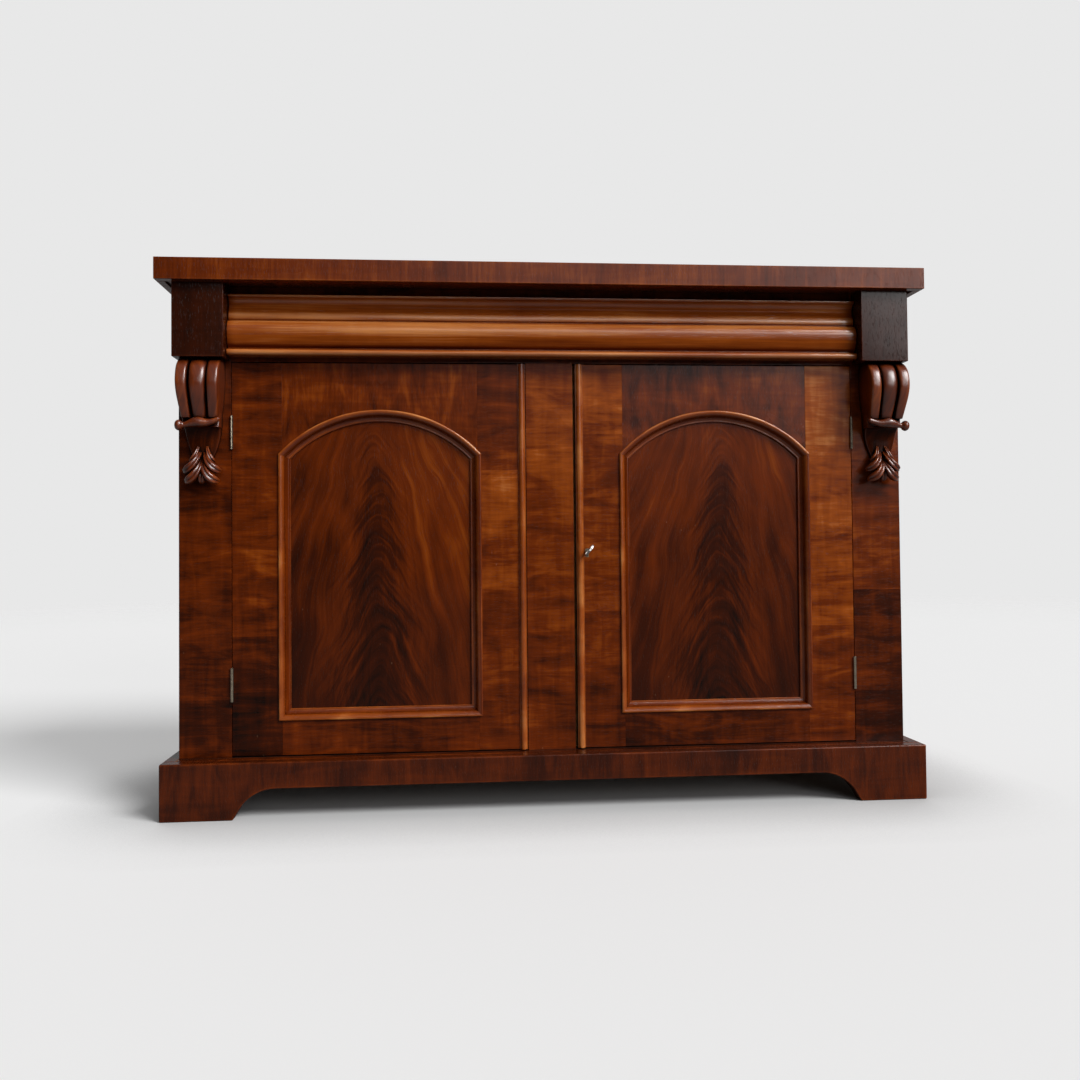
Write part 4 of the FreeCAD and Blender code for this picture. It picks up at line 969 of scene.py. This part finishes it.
def console_sheet(x, out, drop):
    """From shares to metres, on the right-hand side."""
    return [console_x + x * console_width, face_y - out * console_projection,
            console_top - drop * console_height]


def reed(middle, top, foot, square):
    """It swells below the block, tapers downwards and leans a little to the centre line."""
    table = [(0.0, 0.84, 0.50), (0.03, 0.94, 0.70), (0.08, 1.0, 0.87), (0.15, 1.0, 0.97),
             (0.22, 0.95, 1.0), (0.30, 0.79, 0.94), (0.39, 0.48, 0.80), (0.48, 0.08, 0.66)]
    rows = [(drop, middle * (0.84 + 0.16 * full), (foot + (top - foot) * full) / 2, proud)
            for drop, full, proud in table]
    return level_stack(rows, 0.17, square)


roll_out, roll_drop = 0.66, 0.525


def tied_roll():
    """Turned about a waving line: rows of across, rise of the line, radius.

    Its inner end rises against the case, its outer end is a round knob.
    """
    table = [(-0.470, 0.090, 0.030), (-0.462, 0.088, 0.056), (-0.400, 0.066, 0.064),
             (-0.300, 0.030, 0.074), (-0.190, 0.008, 0.088), (-0.070, 0.016, 0.110),
             (0.050, 0.026, 0.118), (0.170, 0.006, 0.098), (0.270, -0.026, 0.074),
             (0.335, -0.046, 0.064), (0.372, -0.052, 0.078), (0.405, -0.054, 0.110),
             (0.455, -0.054, 0.130), (0.505, -0.054, 0.116), (0.540, -0.054, 0.080),
             (0.556, -0.054, 0.024)]
    across, rise, radius = (column[:, None] for column in flowing(table, 100).T)
    turn = np.linspace(0, 2 * np.pi, 24, endpoint=False)[None, :]
    x, y, z = console_sheet(across, roll_out, roll_drop)
    swell = radius * console_width
    return [x + 0 * turn, y + swell * np.cos(turn), z + rise * console_width + swell * np.sin(turn)]


def leaf_finger(root, bend, tip, width, count=30):
    """Grooved tube along root (1-t)^2 + bend 2t(1-t) + tip t^2, in shares.

    Its half width grows to width and rounds off over the last third; a groove runs down its
    face.
    """
    root, bend, tip = (np.array(console_sheet(*point)) for point in (root, bend, tip))
    t = np.linspace(0, 1, count)[:, None]
    line = root * (1 - t) ** 2 + bend * 2 * t * (1 - t) + tip * t ** 2
    run = 2 * (bend - root) * (1 - t) + 2 * (tip - bend) * t
    run /= np.linalg.norm(run, axis=1, keepdims=True)
    side = np.cross(run, (0.0, -1.0, 0.0))
    side /= np.linalg.norm(side, axis=1, keepdims=True)
    outward = np.cross(side, run)
    end = np.sqrt(np.clip(1 - (np.clip(t - 0.67, 0, 1) / 0.33) ** 2, 0, 1))
    half = width * console_width * (0.45 + 0.55 * np.sin(np.pi * np.minimum(t * 0.62, 0.5))) * end + 1e-5
    turn = np.linspace(0, 2 * np.pi, 20, endpoint=False)
    groove = 1 - 0.42 * np.exp(-(np.cos(turn) / 0.38) ** 2) * (np.sin(turn) > 0)
    sideways, forward = np.cos(turn), np.sin(turn) * groove * 1.15
    ring = (line[:, None, :] + side[:, None, :] * (half * sideways)[..., None]
            + outward[:, None, :] * (half * forward)[..., None])
    return [ring[..., axis] for axis in range(3)]


def acanthus():
    """Three lobes a side, the lowest the longest, and a bud between the lowest two."""
    lobes = []
    for s in (-1, 1):
        lobes += [
            leaf_finger((0.02 * s, 0.18, 0.810), (0.06 * s, 0.62, 0.955), (0.40 * s, 0.24, 0.988), 0.112),
            leaf_finger((0.06 * s, 0.18, 0.755), (0.16 * s, 0.58, 0.875), (0.44 * s, 0.22, 0.905), 0.102),
            leaf_finger((0.10 * s, 0.17, 0.705), (0.16 * s, 0.38, 0.800), (0.29 * s, 0.20, 0.830), 0.068),
        ]
    lobes.append(leaf_finger((0, 0.20, 0.86), (0, 0.46, 0.94), (0, 0.24, 1.0), 0.090))
    return lobes


print("console %.0f mm high" % (console_height / mm))


# %% Both corbels
def corbel(node, side, shift):
    """All members of one console; side -1 mirrors them to the left, shift moves them outwards.

    The neck, in the shade of the roll above it, is painted darker: painted shade, so it is the darkest.
    """
    ground = [(0.0, 0, 0.44, 0.34), (0.07, 0, 0.44, 0.56), (0.16, 0, 0.44, 0.68), (0.25, 0, 0.44, 0.64),
              (0.36, 0, 0.44, 0.52), (0.47, 0, 0.44, 0.44), (0.55, 0, 0.43, 0.48)]
    neck = [(0.53, 0, 0.43, 0.48), (0.56, 0, 0.42, 0.30), (0.62, 0, 0.40, 0.19), (0.70, 0, 0.34, 0.17),
            (0.78, 0, 0.25, 0.17), (0.86, 0, 0.17, 0.16), (0.93, 0, 0.10, 0.12), (0.97, 0, 0.06, 0.05)]
    members = [level_stack(ground, 0.10, 0.35), level_stack(neck, 0.10, 0.6)]
    members += [reed(-0.365, 0.27, 0.22, 0.5), reed(0.0, 0.40, 0.31, 0.8), reed(0.365, 0.27, 0.22, 0.5)]
    members += [tied_roll()] + acanthus()
    neck_at = 1
    sheets = []
    for index, (x, y, z) in enumerate(members):
        # The neck is made darker than the other members: painted shade under the roll.
        wear_and_painted_light = -1.0 if index == neck_at else 0.0
        member = sheet(side * (x + shift), y, z, seed=index * 0.37 + side, wear_and_painted_light=wear_and_painted_light)
        points, grain_at = member[:2]
        grain_at[..., 0] = points[..., 2]
        grain_at[..., 1] = points[..., 0] + points[..., 1]
        sheets.append(member)
    carve(node + "_carving", sheets, carved_wood, node, sharp=60)


# depth sets how much ambient occlusion darkens the hollows: painted shade, standing also for dust.
carved_wood = worked_wood("carved_wood", 17.0, 0.46, streaks=0.14, figure=0.14, depth=0.46, crest=0.20,
                          reach=0.020, shine=0.75, roughness=0.29)
corbel("corbel_right", 1, 4.0 * mm)
corbel("corbel_left", -1, -1.5 * mm)

# %% [markdown]
# ## Inside
# The carcass work that nobody sees is pine, never polished, gone brown with age. Boards that
# lie side by side each get a tone of their own: the finish counts boards along X and looks
# up noise with that number. Their edges are eased too, so the joints show.

# %% Pine
PINE = [(0.0, (0.12, 0.045, 0.014)), (0.5, (0.34, 0.165, 0.062)), (1.0, (0.55, 0.34, 0.16))]
lip_width = 0.022
pine_ease = 0.0012


def bare_pine(name, along, seed, board_width=10.0, lipped=False):
    """Dry pine in boards this wide; with lipped, its front edge carries a mahogany lipping."""
    pine = Finish(name, Specular_IOR_Level=0.2, Roughness=0.7)
    x, y, z = pine.axes()
    board = pine.math("FLOOR", pine.over(x, board_width))
    own = pine.noise(pine.joined(pine.times(board, 3.7), seed, 0.5), 0.0)
    behind_face = pine.minus(y, face_y)
    pine.place = pine.joined(x, pine.plus(y, pine.times(board, 0.7)), z)
    figure, streaks, ripple = grain(pine, along, seed, 1.2)
    shade = pine.total((1.0, 0.5), (own, 0.22), (figure, 0.16), (streaks, 0.22), (ripple, 0.03))
    colour = pine.ramp(shade, PINE)
    if lipped:
        colour = pine.mix(pine.math("LESS_THAN", behind_face, lip_width), colour, GRIME)
    pine.put(pine.shader.inputs["Base Color"], colour)
    pine.bump(streaks, 0.0004, 0.6)
    return pine


back_low, back_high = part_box("back_boards")
board_count = 6
back_pine = bare_pine("back_pine", "z", 33.0, (back_high.x - back_low.x) / board_count)
eased(back_pine, pine_ease, "back_boards")
bare_pine("floor_board_pine", "x", 31.0, lipped=True).wear(["bottom_board", "dust_board"])
bare_pine("shelf_pine", "x", 32.0).wear(["shelf", "shelf_bearers", "plinth_back", "plinth_blocks",
                                         "drawer_back", "door_stop"])
bare_pine("drawer_pine", "y", 34.0).wear(["drawer_runners", "drawer_kickers", "drawer_side_right",
                                          "drawer_side_left", "drawer_bottoms", "drawer_muntin"])
print("back boards:", board_count)

# %% [markdown]
# ## Brass and steel
# The hinges are butts of thin brass gone grey-brown, the key is steel worn bright where
# fingers turn it, and the keyhole has a thread of brass.

# %% Metal finishes
def metal(name, fineness, detail, spread, colours, **sockets):
    """Metal that varies over spots, from dark to bright: its finish and its spots."""
    finish = Finish(name, Metallic=1.0, **sockets)
    spots = finish.noise(finish.stretched((fineness,) * 3), detail, 0.6)
    tone = finish.total((1.0, 0.5), (spots, spread))
    finish.put(finish.shader.inputs["Base Color"], finish.ramp(tone, list(zip((0.0, 0.5, 1.0), colours))))
    return finish, spots


brass, tarnish = metal("aged_brass", 120, 4.0, 0.35,
                       [(0.10, 0.06, 0.025), (0.30, 0.22, 0.12), (0.55, 0.43, 0.26)])
brass.put(brass.shader.inputs["Roughness"], brass.total((1.0, 0.38), (tarnish, -0.10)))
brass.wear(["lock_case", "escutcheon", "left_bolt_cases", "left_upper_bolt", "left_lower_bolt"])
steel, _ = metal("worn_steel", 200, 3.0, 0.4,
                 [(0.10, 0.085, 0.07), (0.30, 0.28, 0.26), (0.55, 0.53, 0.50)], Roughness=0.36)
steel.wear(["lock_bolt", "key"])
hinge_brass, _ = metal("hinge_brass", 150, 4.0, 0.35,
                       [(0.16, 0.12, 0.08), (0.47, 0.39, 0.29), (0.66, 0.57, 0.45)], Roughness=0.26)
hinge_brass.wear(["hinge_pins", "hinge_frame_leaves", "right_hinge_leaves", "left_hinge_leaves"])
print("finishes:", len(bpy.data.materials))
